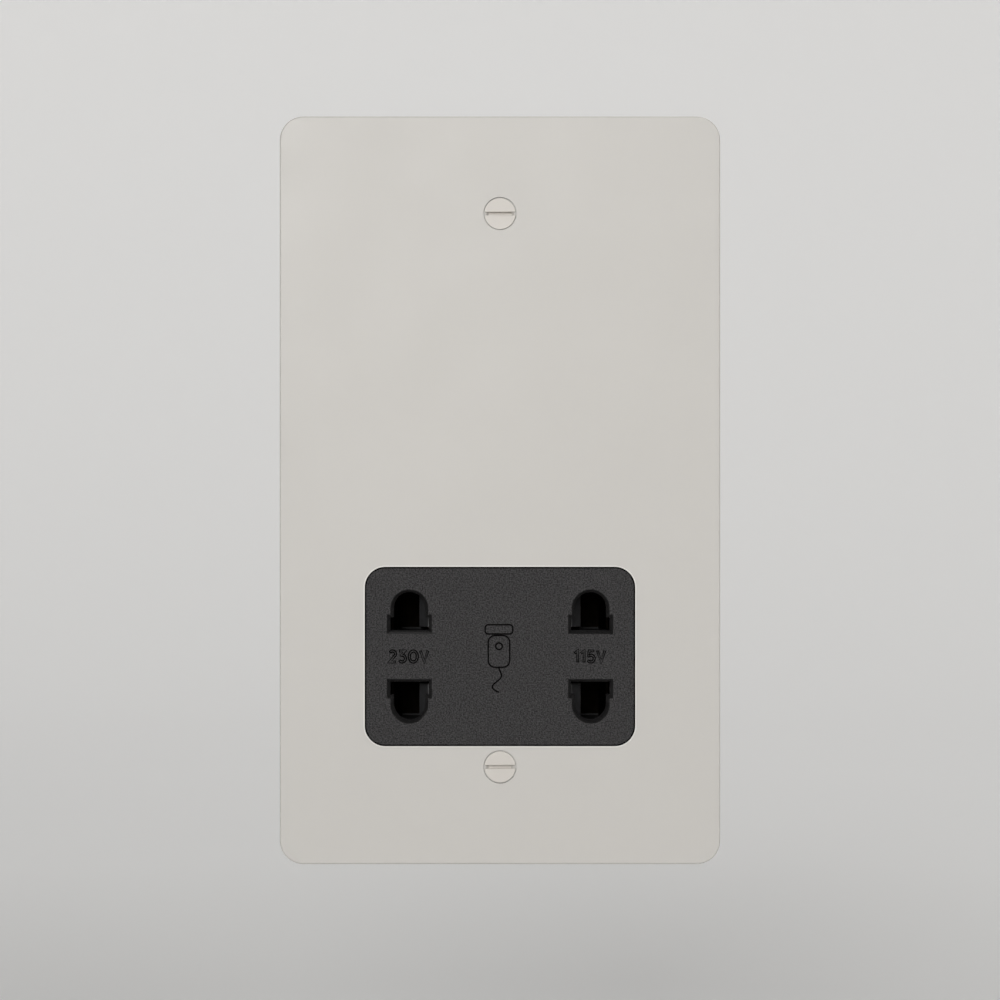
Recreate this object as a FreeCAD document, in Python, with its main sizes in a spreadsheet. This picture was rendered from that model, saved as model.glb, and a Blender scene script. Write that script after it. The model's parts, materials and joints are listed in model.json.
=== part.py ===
import FreeCAD, Part
import math
import os
import Sketcher

# A dual-voltage shaver socket on a tall painted plate, in millimetres.
# +X is right, +Y points into the wall and +Z is up. The origin lies on the wall plane,
# midway between the two fixing screws.

Vector = FreeCAD.Vector
Rotation = FreeCAD.Rotation

SIZES = {
    # faceplate and wall gasket
    "plate_width": 86.0,
    "plate_height": 146.0,
    "plate_thickness": 2.0,
    "plate_corner_radius": 4.6,
    "plate_edge_bevel": 0.25,
    "gasket_thickness": 0.8,
    "gasket_inset": 1.5,
    "gasket_window_gap": 1.4,
    # fixing screws
    "fixing_spacing": 108.0,
    "fixing_head_radius": 3.12,
    "fixing_seat_gap": 0.12,
    "fixing_neck_radius": 1.45,
    "fixing_thread_radius": 1.75,
    "fixing_thread_length": 26.0,
    "fixing_slot_width": 0.7,
    "fixing_slot_depth": 1.39,
    "fixing_hole_radius": 2.0,
    # black insert
    "insert_width": 52.7,
    "insert_height": 34.9,
    "insert_corner_radius": 3.95,
    "insert_gap": 0.15,
    "insert_drop": 32.45,
    "insert_edge_bevel": 0.25,
    # pin apertures, measured from the centre of the insert
    "aperture_offset": 17.7,
    "aperture_inner": 5.0,
    "aperture_shoulder": 7.6,
    "aperture_outer": 12.5,
    "aperture_half_width": 3.8,
    "aperture_arch_radius": 3.1,
    "aperture_rim": 0.6,
    "aperture_rim_depth": 1.3,
    # flange behind the plate
    "flange_thickness": 2.0,
    "flange_side": 2.4,
    "flange_above_studs": 3.8,
    "flange_below_housing": 1.8,
    "flange_corner_radius": 4.0,
    "flange_notch_radius": 3.1,
    # studs and nuts
    "stud_radius": 1.5,
    "stud_length": 7.4,
    "stud_gap": 0.2,
    "stud_stand_off": 3.6,
    "top_stud_offset": 20.0,
    "top_stud_stand_off": 4.8,
    "nut_flats": 5.5,
    "nut_height": 2.4,
    "nut_thread_gap": 0.05,
    # interlock shutter
    "shutter_gap": 0.3,
    "shutter_thickness": 1.8,
    "shutter_cover": 1.8,
    "shutter_bar_inner": 5.6,
    "shutter_bar_outer": 13.2,
    "shutter_web_half_length": 11.0,
    "shutter_ramp": 1.7,
    "shutter_travel": 2.0,
    "guide_gap": 0.1,
    "tongue_half_width": 2.4,
    "tongue_reach": 5.8,
    "peg_radius": 1.2,
    "peg_reach": 4.2,
    "peg_length": 6.3,
    "spring_lug_height": 4.5,
    # contact carrier
    "carrier_side_wall": 3.25,
    "carrier_top_wall": 3.85,
    "carrier_bottom_wall": 1.55,
    "carrier_depth": 11.6,
    "carrier_front_wall": 1.2,
    "carrier_gap": 0.2,
    "shutter_end_room": 4.5,
    "post_offset": 7.6,
    "post_radius": 1.8,
    "carrier_screw_radius": 1.1,
    "carrier_screw_gap": 0.15,
    "carrier_screw_bite": 2.4,
    "carrier_head_radius": 2.1,
    "carrier_head_height": 1.4,
    "bite_gap": 0.05,
    "trough_depth": 1.8,
    "trough_half_width": 4.2,
    "trough_low": 11.6,
    "trough_high": 7.0,
    "lug_half_width": 6.6,
    "lug_reach": 6.8,
    "lug_root": 0.5,
    "lug_thickness": 3.0,
    "retainer_inset": 1.0,
    "retainer_thickness": 1.6,
    # spring clips for the pins
    "clip_sheet": 0.4,
    "clip_mouth": 3.3,
    "clip_waist": 1.9,
    "clip_base": 2.6,
    "clip_inner": 5.0,
    "clip_outer": 12.4,
    "clip_waist_depth": 3.8,
    "clip_bend_radius": 0.6,
    "clip_pocket_gap": 0.35,
    "tag_length": 6.0,
    "tag_width": 2.4,
    "strip_width": 2.6,
    # centring spring
    "spring_sheet": 0.25,
    "spring_width": 1.2,
    "spring_bend_radius": 1.0,
    "spring_bend_drop": 9.0,
    "spring_leg_top": 6.2,
    "spring_stop_height": 1.0,
    "spring_lug_size": 1.6,
    # switch leaves
    "leaf_sheet": 0.3,
    "leaf_gap": 0.3,
    "leaf_width": 4.0,
    "leaf_rise": 1.8,
    "leaf_tip_setback": 2.0,
    "fixed_leaf_offset": 4.0,
    "fixed_leaf_sheet": 0.5,
    "fixed_leaf_shortfall": 1.0,
    "fixed_overhang": 3.0,
    "contact_tip_half": 0.9,
    "contact_tip_height": 0.45,
    "contact_tip_setback": 1.6,
    "switch_tag_length": 4.0,
    "switch_tag_half_width": 0.8,
    "switch_tag_height": 1.0,
    # transformer
    "core_leg": 16.0,
    "core_yoke": 8.0,
    "core_window_width": 8.0,
    "core_window_height": 24.0,
    "core_stack": 20.0,
    "core_above_lug": 5.4,
    "core_side_room": 5.2,
    "core_top_room": 2.8,
    "clamp_sheet": 0.8,
    "clamp_tab": 5.0,
    "core_pad_thickness": 1.0,
    "core_pad_size": 5.0,
    "core_post_size": 4.6,
    "core_post_inset": 1.0,
    "bobbin_gap": 0.2,
    "bobbin_wall": 1.0,
    "bobbin_flange": 1.0,
    "coil_side_room": 1.4,
    "coil_front_room": 2.8,
    "coil_rear_room": 4.0,
    "winding_inset": 0.6,
    "winding_corner_radius": 4.0,
    "coil_tag_size": 0.9,
    "coil_tag_length": 4.5,
    "coil_tag_pitch": 6.0,
    "cutout_length": 14.0,
    "cutout_height": 6.0,
    "cutout_thickness": 2.6,
    # rear housing
    "housing_wall": 1.6,
    "housing_rear_wall": 1.8,
    "housing_corner_radius": 3.0,
    "housing_step_drop": 11.0,
    "housing_step_round": 2.0,
    "housing_rear_bevel": 1.0,
    # long screws that close the housing
    "pillar_rise": 1.0,
    "pillar_radius": 2.2,
    "pillar_length": 7.8,
    "pillar_pilot_radius": 1.45,
    "boss_radius": 2.4,
    "boss_gap": 0.3,
    "boss_hole_radius": 1.7,
    "recess_radius": 3.0,
    "recess_depth": 1.0,
    "housing_screw_radius": 1.4,
    "housing_screw_reach": 6.0,
    "housing_head_radius": 2.7,
    "housing_head_height": 1.6,
    # snap hook at the lower end
    "hook_half_width": 6.8,
    "hook_thickness": 1.2,
    "hook_gap": 0.1,
    "hook_back_gap": 0.3,
    "hook_start": 2.2,
    "hook_length": 2.4,
    "hook_grip": 1.0,
    # terminals
    "terminal_pitch": 12.0,
    "terminal_wall": 1.4,
    "terminal_side_wall": 2.5,
    "terminal_roof": 2.1,
    "terminal_front_room": 2.2,
    "clamp_width": 7.0,
    "clamp_depth": 8.4,
    "clamp_height": 7.8,
    "clamp_gap": 0.1,
    "wire_bore_radius": 1.8,
    "wire_bore_depth": 6.0,
    "wire_bore_setback": 5.2,
    "clamp_screw_radius": 1.5,
    "clamp_screw_gap": 0.05,
    "clamp_screw_clear": 0.1,
    "clamp_screw_stand": 1.2,
    "access_hole_radius": 2.4,
    "entry_width": 6.0,
    "entry_depth": 5.4,
    "entry_step": 0.6,
    "lead_hole_half": 1.5,
    # earth tag
    "earth_tag_thickness": 0.6,
    "earth_tag_radius": 3.0,
    "earth_neck_length": 2.0,
    "earth_barrel_size": 3.0,
    "earth_barrel_length": 6.0,
    # leads
    "lead_radius": 0.8,
    "earth_lead_radius": 1.1,
    "earth_lead_depth": 22.8,
    "earth_lead_drop": 1.6,
    "earth_hole_radius": 1.4,
    "lead_drop": 8.0,
}


class Size:
    """A number of the model, kept together with the spreadsheet formula that gives it."""

    def __init__(self, number, formula):
        self.number = number
        self.formula = formula

    def __add__(self, other):
        other = as_size(other)
        return Size(self.number + other.number, f"({self.formula} + {other.formula})")

    def __sub__(self, other):
        other = as_size(other)
        return Size(self.number - other.number, f"({self.formula} - {other.formula})")

    def __mul__(self, other):
        other = as_size(other)
        return Size(self.number * other.number, f"({self.formula} * {other.formula})")

    def __truediv__(self, other):
        other = as_size(other)
        return Size(self.number / other.number, f"({self.formula} / {other.formula})")

    def __neg__(self):
        return Size(-self.number, f"(0 - {self.formula})")

    __radd__ = __add__
    __rmul__ = __mul__

    def __rsub__(self, other):
        return as_size(other) - self


def as_size(value):
    return value if isinstance(value, Size) else Size(float(value), f"({float(value)})")


doc = FreeCAD.newDocument("ShaverSocket")
sheet = doc.addObject("Spreadsheet::Sheet", "sizes")


class DrivingSizes:
    """The spreadsheet's cells by name, one attribute to a cell."""

    def __init__(self, table):
        for row, (name, number) in enumerate(table.items(), start=1):
            sheet.set(f"A{row}", name)
            sheet.set(f"B{row}", str(number))
            sheet.setAlias(f"B{row}", name)
            setattr(self, name, Size(number, f"sizes.{name}"))


s = DrivingSizes(SIZES)
doc.recompute()

# Planes and places that the pieces share. Depths run along Y, heights along Z.
plate_back = -s.gasket_thickness
plate_front = plate_back - s.plate_thickness
flange_back = plate_back + s.flange_thickness
shutter_front = flange_back + s.shutter_gap
shutter_back = shutter_front + s.shutter_thickness
carrier_front = shutter_back + s.shutter_gap
carrier_back = carrier_front + s.carrier_depth
retainer_back = carrier_back + s.retainer_thickness

insert_middle = -s.insert_drop
shutter_half_length = s.aperture_offset - s.shutter_cover
clip_room_half = s.clip_mouth + s.clip_sheet + s.clip_pocket_gap
carrier_half_width = s.aperture_offset + clip_room_half + s.carrier_side_wall
rail_inside = shutter_half_length + s.shutter_travel + s.shutter_end_room
rail_reach = s.shutter_bar_outer + s.carrier_gap
carrier_top = insert_middle + rail_reach + s.carrier_top_wall
carrier_bottom = insert_middle - rail_reach - s.carrier_bottom_wall
lug_top = carrier_top + s.lug_reach
leaf_low = carrier_top + s.leaf_rise

leaf_tip = carrier_front + s.leaf_tip_setback
fixed_leaf_tip = leaf_tip + s.fixed_leaf_shortfall
contact_tip_depth = fixed_leaf_tip + s.contact_tip_setback

core_width = s.core_leg + (s.core_window_width + s.core_yoke) * 2
core_bottom = lug_top + s.core_above_lug
core_window_low = core_bottom + s.core_yoke
core_window_high = core_window_low + s.core_window_height
core_top = core_window_high + s.core_yoke
bobbin_overhang = s.core_window_width - s.bobbin_gap - s.coil_side_room
winding_build = bobbin_overhang - s.bobbin_wall - s.winding_inset
core_front = flange_back + s.coil_front_room + bobbin_overhang + s.bobbin_gap
core_back = core_front + s.core_stack
core_middle = core_front + s.core_stack / 2
coil_tag_depth = core_back + bobbin_overhang / 2
coil_tag_end = core_window_low - s.coil_tag_length

housing_inside = core_back + s.bobbin_gap + bobbin_overhang + s.coil_rear_room
housing_depth = housing_inside + s.housing_rear_wall
housing_half_width = core_width / 2 + s.clamp_sheet + s.core_side_room + s.housing_wall
neck_half_width = carrier_half_width + s.carrier_gap + s.housing_wall
neck_top = core_bottom - s.housing_step_drop
housing_top = core_top + s.clamp_sheet + s.core_top_room + s.housing_wall
hook_outside = carrier_bottom - s.hook_back_gap - s.hook_thickness
terminal_floor = hook_outside - s.hook_gap
housing_bottom = terminal_floor - s.housing_wall
pillar_offset = core_width / 2 + s.clamp_sheet + s.boss_radius + s.boss_gap
pillar_height = core_top + s.pillar_rise
pillar_back = flange_back + s.pillar_length

side_stud = (neck_half_width + s.stud_stand_off, insert_middle)
top_stud = (s.top_stud_offset, housing_top + s.top_stud_stand_off)
flange_half_width = housing_half_width + s.flange_side
flange_top = top_stud[1] + s.flange_above_studs
flange_bottom = housing_bottom - s.flange_below_housing

terminal_half_width = s.terminal_pitch + s.clamp_width / 2 + s.terminal_side_wall
clamp_back = housing_inside - s.terminal_wall
terminal_front = clamp_back - s.clamp_depth - s.terminal_front_room
clamp_low = terminal_floor + s.terminal_wall + s.clamp_gap
clamp_top = clamp_low + s.clamp_height
terminal_top = clamp_top + s.clamp_gap + s.terminal_roof
wire_depth = clamp_back - s.wire_bore_setback

FINISHED = []


def bind(thing, name, size):
    """Ties a property, or a sketch's constraint, to the spreadsheet."""
    thing.setExpression(name, as_size(size).formula)


def finished(thing, label):
    """Gives a piece its name, which is also its file's name."""
    thing.Label = label
    FINISHED.append(thing)
    return thing


def new_body(name):
    return doc.addObject("PartDesign::Body", name)


# Directions in which a sketch's own normal points, as a sign along the positive axis
NORMAL_SIGN = {"XZ_Plane": -1, "XY_Plane": 1, "YZ_Plane": 1}


def new_sketch(body, plane, position=0):
    """An empty sketch parallel to one of the body's planes, at a position along the third axis."""
    sketch = body.newObject("Sketcher::SketchObject", f"{body.Name}_sketch")
    origin_plane = next(f for f in body.Origin.OriginFeatures if f.Role == plane)
    sketch.AttachmentSupport = (origin_plane, [""])
    sketch.MapMode = "FlatFace"
    bind(sketch, ".AttachmentOffset.Base.z", as_size(position) * NORMAL_SIGN[plane])
    sketch.addProperty("App::PropertyString", "PlaneName")
    sketch.PlaneName = plane
    return sketch


def flat_vector(x, y):
    return Vector(as_size(x).number, as_size(y).number, 0)


def pin_coordinate(sketch, geometry, point, axis, value):
    """Fixes one coordinate of a point of the sketch: axis 0 is across, axis 1 is up."""
    kind = ("DistanceX", "DistanceY")[axis]
    size = as_size(value)
    constraint = Sketcher.Constraint(kind, -1, 1, geometry, point, size.number)
    index = sketch.addConstraint(constraint)
    bind(sketch, f"Constraints[{index}]", size)


def pin_point(sketch, geometry, point, x, y):
    pin_coordinate(sketch, geometry, point, 0, x)
    pin_coordinate(sketch, geometry, point, 1, y)


def outline(sketch, corners):
    """A closed line through corners (x, y). A third entry (centre_x, centre_y, turn) makes
    the stretch to the next corner an arc about that centre, turning left or right."""
    points = [(as_size(corner[0]), as_size(corner[1])) for corner in corners]
    ends = []
    centres = []
    for index, corner in enumerate(corners):
        after = points[(index + 1) % len(points)]
        start, end = flat_vector(*points[index]), flat_vector(*after)
        if len(corner) == 2:
            geometry = sketch.addGeometry(Part.LineSegment(start, end), False)
            ends.append((geometry, 1, 2))
            centres.append(None)
            continue
        centre_x, centre_y, turn = corner[2]
        centre = flat_vector(centre_x, centre_y)
        first, last = (start, end) if turn == "left" else (end, start)
        low, high = (math.atan2(p.y - centre.y, p.x - centre.x) for p in (first, last))
        high += 0 if high > low else 2 * math.pi
        full = Part.Circle(centre, Vector(0, 0, 1), centre.distanceToPoint(start))
        geometry = sketch.addGeometry(Part.ArcOfCircle(full, low, high), False)
        ends.append((geometry, 1, 2) if turn == "left" else (geometry, 2, 1))
        centres.append(centre)
        pin_point(sketch, geometry, 3, centre_x, centre_y)
    for index, (geometry, start_point, _) in enumerate(ends):
        before, _, end_point = ends[index - 1]
        join = Sketcher.Constraint("Coincident", before, end_point, geometry, start_point)
        sketch.addConstraint(join)
        arc_centre = centres[index - 1]
        if arc_centre is None:
            pin_point(sketch, geometry, start_point, *points[index])
            continue
        # an arc's end has one freedom left, so it takes one coordinate
        reach = flat_vector(*points[index]) - arc_centre
        kind = 1 if abs(reach.x) > abs(reach.y) else 0
        pin_coordinate(sketch, geometry, start_point, kind, points[index][kind])


def rectangle(sketch, left, right, low, high):
    outline(sketch, [(left, low), (right, low), (right, high), (left, high)])


def rounded_rectangle(sketch, left, right, low, high, radius):
    left, right, low, high = (as_size(v) for v in (left, right, low, high))
    outline(
        sketch,
        [
            (left + radius, low),
            (right - radius, low, (right - radius, low + radius, "left")),
            (right, low + radius),
            (right, high - radius, (right - radius, high - radius, "left")),
            (right - radius, high),
            (left + radius, high, (left + radius, high - radius, "left")),
            (left, high - radius),
            (left, low + radius, (left + radius, low + radius, "left")),
        ],
    )


def circle(sketch, x, y, radius):
    centre = flat_vector(x, y)
    shape = Part.Circle(centre, Vector(0, 0, 1), as_size(radius).number)
    geometry = sketch.addGeometry(shape, False)
    pin_point(sketch, geometry, 3, x, y)
    index = sketch.addConstraint(
        Sketcher.Constraint("Radius", geometry, as_size(radius).number)
    )
    bind(sketch, f"Constraints[{index}]", radius)


def obround(sketch, left, right, y, radius):
    """A slot's outline, with round ends about (left, y) and (right, y)."""
    outline(
        sketch,
        [
            (left, y - radius),
            (right, y - radius, (right, y, "left")),
            (right, y + radius),
            (left, y + radius, (left, y, "left")),
        ],
    )


def pad(sketch, length):
    """Fills the sketch's outline from its plane along the positive axis."""
    body = sketch.getParentGeoFeatureGroup()
    feature = body.newObject("PartDesign::Pad", f"{body.Name}_pad")
    feature.Profile = sketch
    feature.Reversed = NORMAL_SIGN[sketch.PlaneName] < 0
    bind(feature, "Length", length)
    return feature


def pocket(sketch, length):
    """Cuts the sketch's outline from its plane along the positive axis."""
    body = sketch.getParentGeoFeatureGroup()
    feature = body.newObject("PartDesign::Pocket", f"{body.Name}_pocket")
    feature.Profile = sketch
    feature.Reversed = NORMAL_SIGN[sketch.PlaneName] > 0
    bind(feature, "Length", length)
    return feature


def dress(body, kind, radius, chosen):
    """A fillet or chamfer on the edges of the body that the test chooses."""
    doc.recompute()
    base = body.Tip
    edges = [f"Edge{n}" for n, e in enumerate(base.Shape.Edges, start=1) if chosen(e)]
    feature = body.newObject(f"PartDesign::{kind}", f"{body.Name}_{kind.lower()}")
    feature.Base = (base, edges)
    bind(feature, "Radius" if kind == "Fillet" else "Size", radius)
    return feature


def near(a, b):
    return abs(a - b) < 0.01


def in_plane(edge, axis, position):
    """Whether the whole edge lies in the plane across an axis at a position."""
    low = getattr(edge.BoundBox, f"{axis}Min")
    high = getattr(edge.BoundBox, f"{axis}Max")
    return near(low, position.number) and near(high, position.number)


def along(edge, axis):
    """Whether the edge is a straight line along an axis."""
    box = edge.BoundBox
    spans = {"X": box.XLength, "Y": box.YLength, "Z": box.ZLength}
    across = [span for name, span in spans.items() if name != axis]
    return spans[axis] > 0.01 and max(across) < 0.001


def turned(body, corners):
    """A turned piece: a profile of (radius, depth) corners spun about the Y axis."""
    sketch = new_sketch(body, "XY_Plane")
    outline(sketch, corners)
    feature = body.newObject("PartDesign::Revolution", f"{body.Name}_turned")
    feature.Profile = sketch
    feature.ReferenceAxis = (sketch, ["V_Axis"])
    feature.Angle = 360
    return feature


def place(thing, x, z):
    bind(thing, ".Placement.Base.x", x)
    bind(thing, ".Placement.Base.z", z)


def group(label, body, places):
    """One node of equal pieces: the body at the first place and links to it at the others."""
    place(body, *places[0])
    members = [body]
    for number, spot in enumerate(places[1:], start=2):
        link = doc.addObject("App::Link", f"{body.Name}_{number}")
        link.LinkedObject = body
        place(link, *spot)
        members.append(link)
    compound = doc.addObject("Part::Compound", f"{body.Name}_group")
    compound.Links = members
    return finished(compound, label)


def mirrored_places(x, z):
    return [(-x, z), (x, z)]


def fixing_places():
    return [(0, -s.fixing_spacing / 2), (0, s.fixing_spacing / 2)]


def stud_places():
    return mirrored_places(*side_stud) + mirrored_places(*top_stud)


def pillar_places():
    return mirrored_places(pillar_offset, pillar_height)


def insert_rectangle(sketch, gap=0):
    """The insert's outline, grown by a gap on every side."""
    half_width = s.insert_width / 2 + gap
    half_height = s.insert_height / 2 + gap
    rounded_rectangle(
        sketch,
        -half_width,
        half_width,
        insert_middle - half_height,
        insert_middle + half_height,
        s.insert_corner_radius + gap,
    )


def aperture(sketch, side, way, gap=0):
    """One pin aperture: a wide part for flat pins that ends in an arch for round pins.
    side is -1 on the left, way is 1 in the upper row."""
    centre = side * s.aperture_offset
    wide = s.aperture_half_width + gap
    arch = s.aperture_arch_radius + gap
    inner = insert_middle + way * (s.aperture_inner - gap)
    shoulder = insert_middle + way * (s.aperture_shoulder + gap)
    spring = insert_middle + way * (s.aperture_outer - s.aperture_arch_radius)
    turn = "left" if way > 0 else "right"
    outline(
        sketch,
        [
            (centre - wide, inner),
            (centre + wide, inner),
            (centre + wide, shoulder),
            (centre + arch, shoulder),
            (centre + arch, spring, (centre, spring, turn)),
            (centre - arch, spring),
            (centre - arch, shoulder),
            (centre - wide, shoulder),
        ],
    )


APERTURES = [(side, way) for side in (-1, 1) for way in (1, -1)]


def make_faceplate():
    body = new_body("faceplate")
    half_width, half_height = s.plate_width / 2, s.plate_height / 2
    sheet_outline = new_sketch(body, "XZ_Plane", plate_front)
    rounded_rectangle(
        sheet_outline,
        -half_width,
        half_width,
        -half_height,
        half_height,
        s.plate_corner_radius,
    )
    pad(sheet_outline, s.plate_thickness)
    window = new_sketch(body, "XZ_Plane", plate_front)
    insert_rectangle(window, s.insert_gap)
    pocket(window, s.plate_thickness)
    dress(body, "Chamfer", s.plate_edge_bevel, lambda e: in_plane(e, "Y", plate_front))
    for x, z in fixing_places():
        countersink(body, x, z)
    return finished(body, "faceplate")


def countersink(body, x, z):
    """A screw hole whose cone stands clear of the screw's head by the seat gap."""
    hole_centres = new_sketch(body, "XZ_Plane", plate_front)
    circle(hole_centres, x, z, s.fixing_hole_radius)
    doc.recompute()
    hole = body.newObject("PartDesign::Hole", "screw_hole")
    hole.Profile = hole_centres
    doc.recompute()
    hole.Threaded = False
    hole.DepthType = "ThroughAll"
    hole.HoleCutType = "Countersink"
    hole.HoleCutCountersinkAngle = 90
    bind(hole, "Diameter", s.fixing_hole_radius * 2)
    bind(hole, "HoleCutDiameter", (s.fixing_head_radius + s.fixing_seat_gap) * 2)


def make_wall_gasket():
    """A flat ring between plate and wall that leaves room for the flange."""
    body = new_body("wall_gasket")
    half_width = s.plate_width / 2 - s.gasket_inset
    half_height = s.plate_height / 2 - s.gasket_inset
    window_half_width = flange_half_width + s.gasket_window_gap
    window_half_height = s.fixing_spacing / 2 + s.flange_notch_radius + s.gasket_window_gap
    ring = new_sketch(body, "XZ_Plane", plate_back)
    rounded_rectangle(
        ring,
        -half_width,
        half_width,
        -half_height,
        half_height,
        s.plate_corner_radius - s.gasket_inset,
    )
    rectangle(
        ring,
        -window_half_width,
        window_half_width,
        -window_half_height,
        window_half_height,
    )
    pad(ring, s.gasket_thickness)
    return finished(body, "wall_gasket")


def make_fixing_screws():
    """Countersunk slotted screws. The cone of the head stands clear of the plate's cone by
    the seat gap, which leaves a fine groove round it."""
    body = new_body("fixing_screw")
    head, neck = s.fixing_head_radius, s.fixing_neck_radius
    thread, end = s.fixing_thread_radius, s.fixing_thread_length
    turned(
        body,
        [
            (0, plate_front),
            (head, plate_front),
            (neck, plate_front + head - neck),
            (neck, 0),
            (thread, 0),
            (thread, end),
            (0, end),
        ],
    )
    slot = new_sketch(body, "XZ_Plane", plate_front)
    half_slot = s.fixing_slot_width / 2
    rectangle(slot, -head, head, -half_slot, half_slot)
    pocket(slot, s.fixing_slot_depth)
    return group("fixing_screws", body, fixing_places())


def make_socket_front():
    """The black moulding: insert, flange, pin apertures, pillars, core posts and snap hook."""
    body = new_body("socket_front")
    flange = new_sketch(body, "XZ_Plane", plate_back)
    rounded_rectangle(
        flange,
        -flange_half_width,
        flange_half_width,
        flange_bottom,
        flange_top,
        s.flange_corner_radius,
    )
    pad(flange, s.flange_thickness)
    insert = new_sketch(body, "XZ_Plane", plate_front)
    insert_rectangle(insert)
    pad(insert, s.plate_thickness)
    dress(body, "Chamfer", s.insert_edge_bevel, lambda e: in_plane(e, "Y", plate_front))

    notch = new_sketch(body, "XZ_Plane", plate_back)
    for way in (-1, 1):
        circle(notch, 0, way * s.fixing_spacing / 2, s.flange_notch_radius)
    pocket(notch, s.flange_thickness)
    holes = new_sketch(body, "XZ_Plane", plate_front)
    for side, way in APERTURES:
        aperture(holes, side, way)
    pocket(holes, flange_back - plate_front)
    rim = dress(body, "Chamfer", s.aperture_rim, is_aperture_rim)
    rim.ChamferType = "Two distances"
    bind(rim, "Size2", s.aperture_rim_depth)

    stud_holes = new_sketch(body, "XZ_Plane", plate_back)
    for x, z in stud_places():
        circle(stud_holes, x, z, s.stud_radius + s.stud_gap)
    pocket(stud_holes, s.flange_thickness)

    pillars = new_sketch(body, "XZ_Plane", flange_back)
    pilots = new_sketch(body, "XZ_Plane", flange_back)
    for x, z in pillar_places():
        circle(pillars, x, z, s.pillar_radius)
        circle(pilots, x, z, s.pillar_pilot_radius)
    pad(pillars, pillar_back - flange_back)
    pocket(pilots, pillar_back - flange_back)

    posts = new_sketch(body, "XZ_Plane", flange_back)
    core_posts(posts)
    pad(posts, core_front - s.core_pad_thickness - flange_back)

    bites = new_sketch(body, "XZ_Plane", flange_back - s.carrier_screw_bite)
    for x, z in mirrored_places(s.post_offset, insert_middle):
        circle(bites, x, z, s.carrier_screw_radius + s.bite_gap)
    pocket(bites, s.carrier_screw_bite)

    make_snap_hook(body)
    return finished(body, "socket_front")


def is_aperture_rim(edge):
    """An edge of a pin aperture on the front face, away from the insert's own border."""
    width = s.insert_width.number / 2 - 1
    height = s.insert_height.number / 2 - 1
    middle = insert_middle.number
    points = [vertex.Point for vertex in edge.Vertexes]
    inside = all(abs(p.x) < width and abs(p.z - middle) < height for p in points)
    return inside and in_plane(edge, "Y", plate_front)


def core_posts(sketch):
    """Square posts that hold the laminated core at its four corners."""
    outer = core_width / 2
    inner = outer - s.core_post_size
    for side in (-1, 1):
        left, right = (inner, outer) if side > 0 else (-outer, -inner)
        for low in core_post_lows():
            rectangle(sketch, left, right, low, low + s.core_post_size)


def core_post_lows():
    """The lower edges of the lower and the upper pair of core posts."""
    inset = s.core_post_inset
    return core_bottom + inset, core_top - s.core_post_size - inset


def make_snap_hook(body):
    """A springy tongue at the lower end whose nose catches in the housing's window."""
    arm = new_sketch(body, "YZ_Plane", -s.hook_half_width)
    nose = flange_back + s.hook_start + s.hook_gap
    nose_end = flange_back + s.hook_start + s.hook_length - s.hook_gap
    tip = nose_end + s.hook_gap * 2
    outline(
        arm,
        [
            (flange_back, hook_outside),
            (nose, hook_outside),
            (nose, hook_outside - s.hook_grip),
            (nose_end, hook_outside),
            (tip, hook_outside),
            (tip, hook_outside + s.hook_thickness),
            (flange_back, hook_outside + s.hook_thickness),
        ],
    )
    pad(arm, s.hook_half_width * 2)


def make_plate_studs():
    """Plain studs welded to the back of the plate."""
    body = new_body("plate_stud")
    section = new_sketch(body, "XZ_Plane", plate_back)
    circle(section, 0, 0, s.stud_radius)
    pad(section, s.stud_length)
    return group("plate_studs", body, stud_places())


def hexagon(sketch, flats):
    """A hexagon with two flats upright, so that it turns between side walls."""
    half = flats / 2
    corner = flats / math.sqrt(3)
    outline(
        sketch,
        [
            (half, -corner / 2),
            (half, corner / 2),
            (0, corner),
            (-half, corner / 2),
            (-half, -corner / 2),
            (0, -corner),
        ],
    )


def make_stud_nuts():
    """The nuts sit on the flange, and the right-hand side one on the earth tag."""
    body = new_body("stud_nut")
    section = new_sketch(body, "XZ_Plane", flange_back)
    hexagon(section, s.nut_flats)
    circle(section, 0, 0, s.stud_radius + s.nut_thread_gap)
    pad(section, s.nut_height)
    places = stud_places()
    earthed = places.index((side_stud[0], side_stud[1]))
    compound = group("stud_nuts", body, places)
    bind(compound.Links[earthed], ".Placement.Base.y", s.earth_tag_thickness)
    return compound


def make_earth_tag():
    """A ring tag on the right-hand side stud, with a flattened crimp barrel that points up."""
    body = new_body("earth_tag")
    x, z = side_stud
    half = s.earth_barrel_size / 2
    neck_top = z + s.earth_tag_radius + s.earth_neck_length
    eye = new_sketch(body, "XZ_Plane", flange_back)
    circle(eye, x, z, s.earth_tag_radius)
    pad(eye, s.earth_tag_thickness)
    neck = new_sketch(body, "XZ_Plane", flange_back)
    rectangle(neck, x - half * 0.8, x + half * 0.8, z + s.stud_radius * 1.5, neck_top)
    pad(neck, s.earth_tag_thickness)
    hole = new_sketch(body, "XZ_Plane", flange_back)
    circle(hole, x, z, s.stud_radius + s.stud_gap / 2)
    pocket(hole, s.earth_tag_thickness)
    barrel = new_sketch(body, "XZ_Plane", flange_back)
    rectangle(barrel, x - half, x + half, neck_top, neck_top + s.earth_barrel_length)
    pad(barrel, s.earth_barrel_size)
    return finished(body, "earth_tag")


def housing_outline(sketch, inset):
    """The stepped outline of the housing, wide over the transformer and narrow at the insert."""
    wide = housing_half_width - inset
    neck = neck_half_width - inset
    step = neck_top + inset
    outline(
        sketch,
        [
            (-neck, housing_bottom + inset),
            (neck, housing_bottom + inset),
            (neck, step),
            (wide, step),
            (wide, housing_top - inset),
            (-wide, housing_top - inset),
            (-wide, step),
            (-neck, step),
        ],
    )


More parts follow.
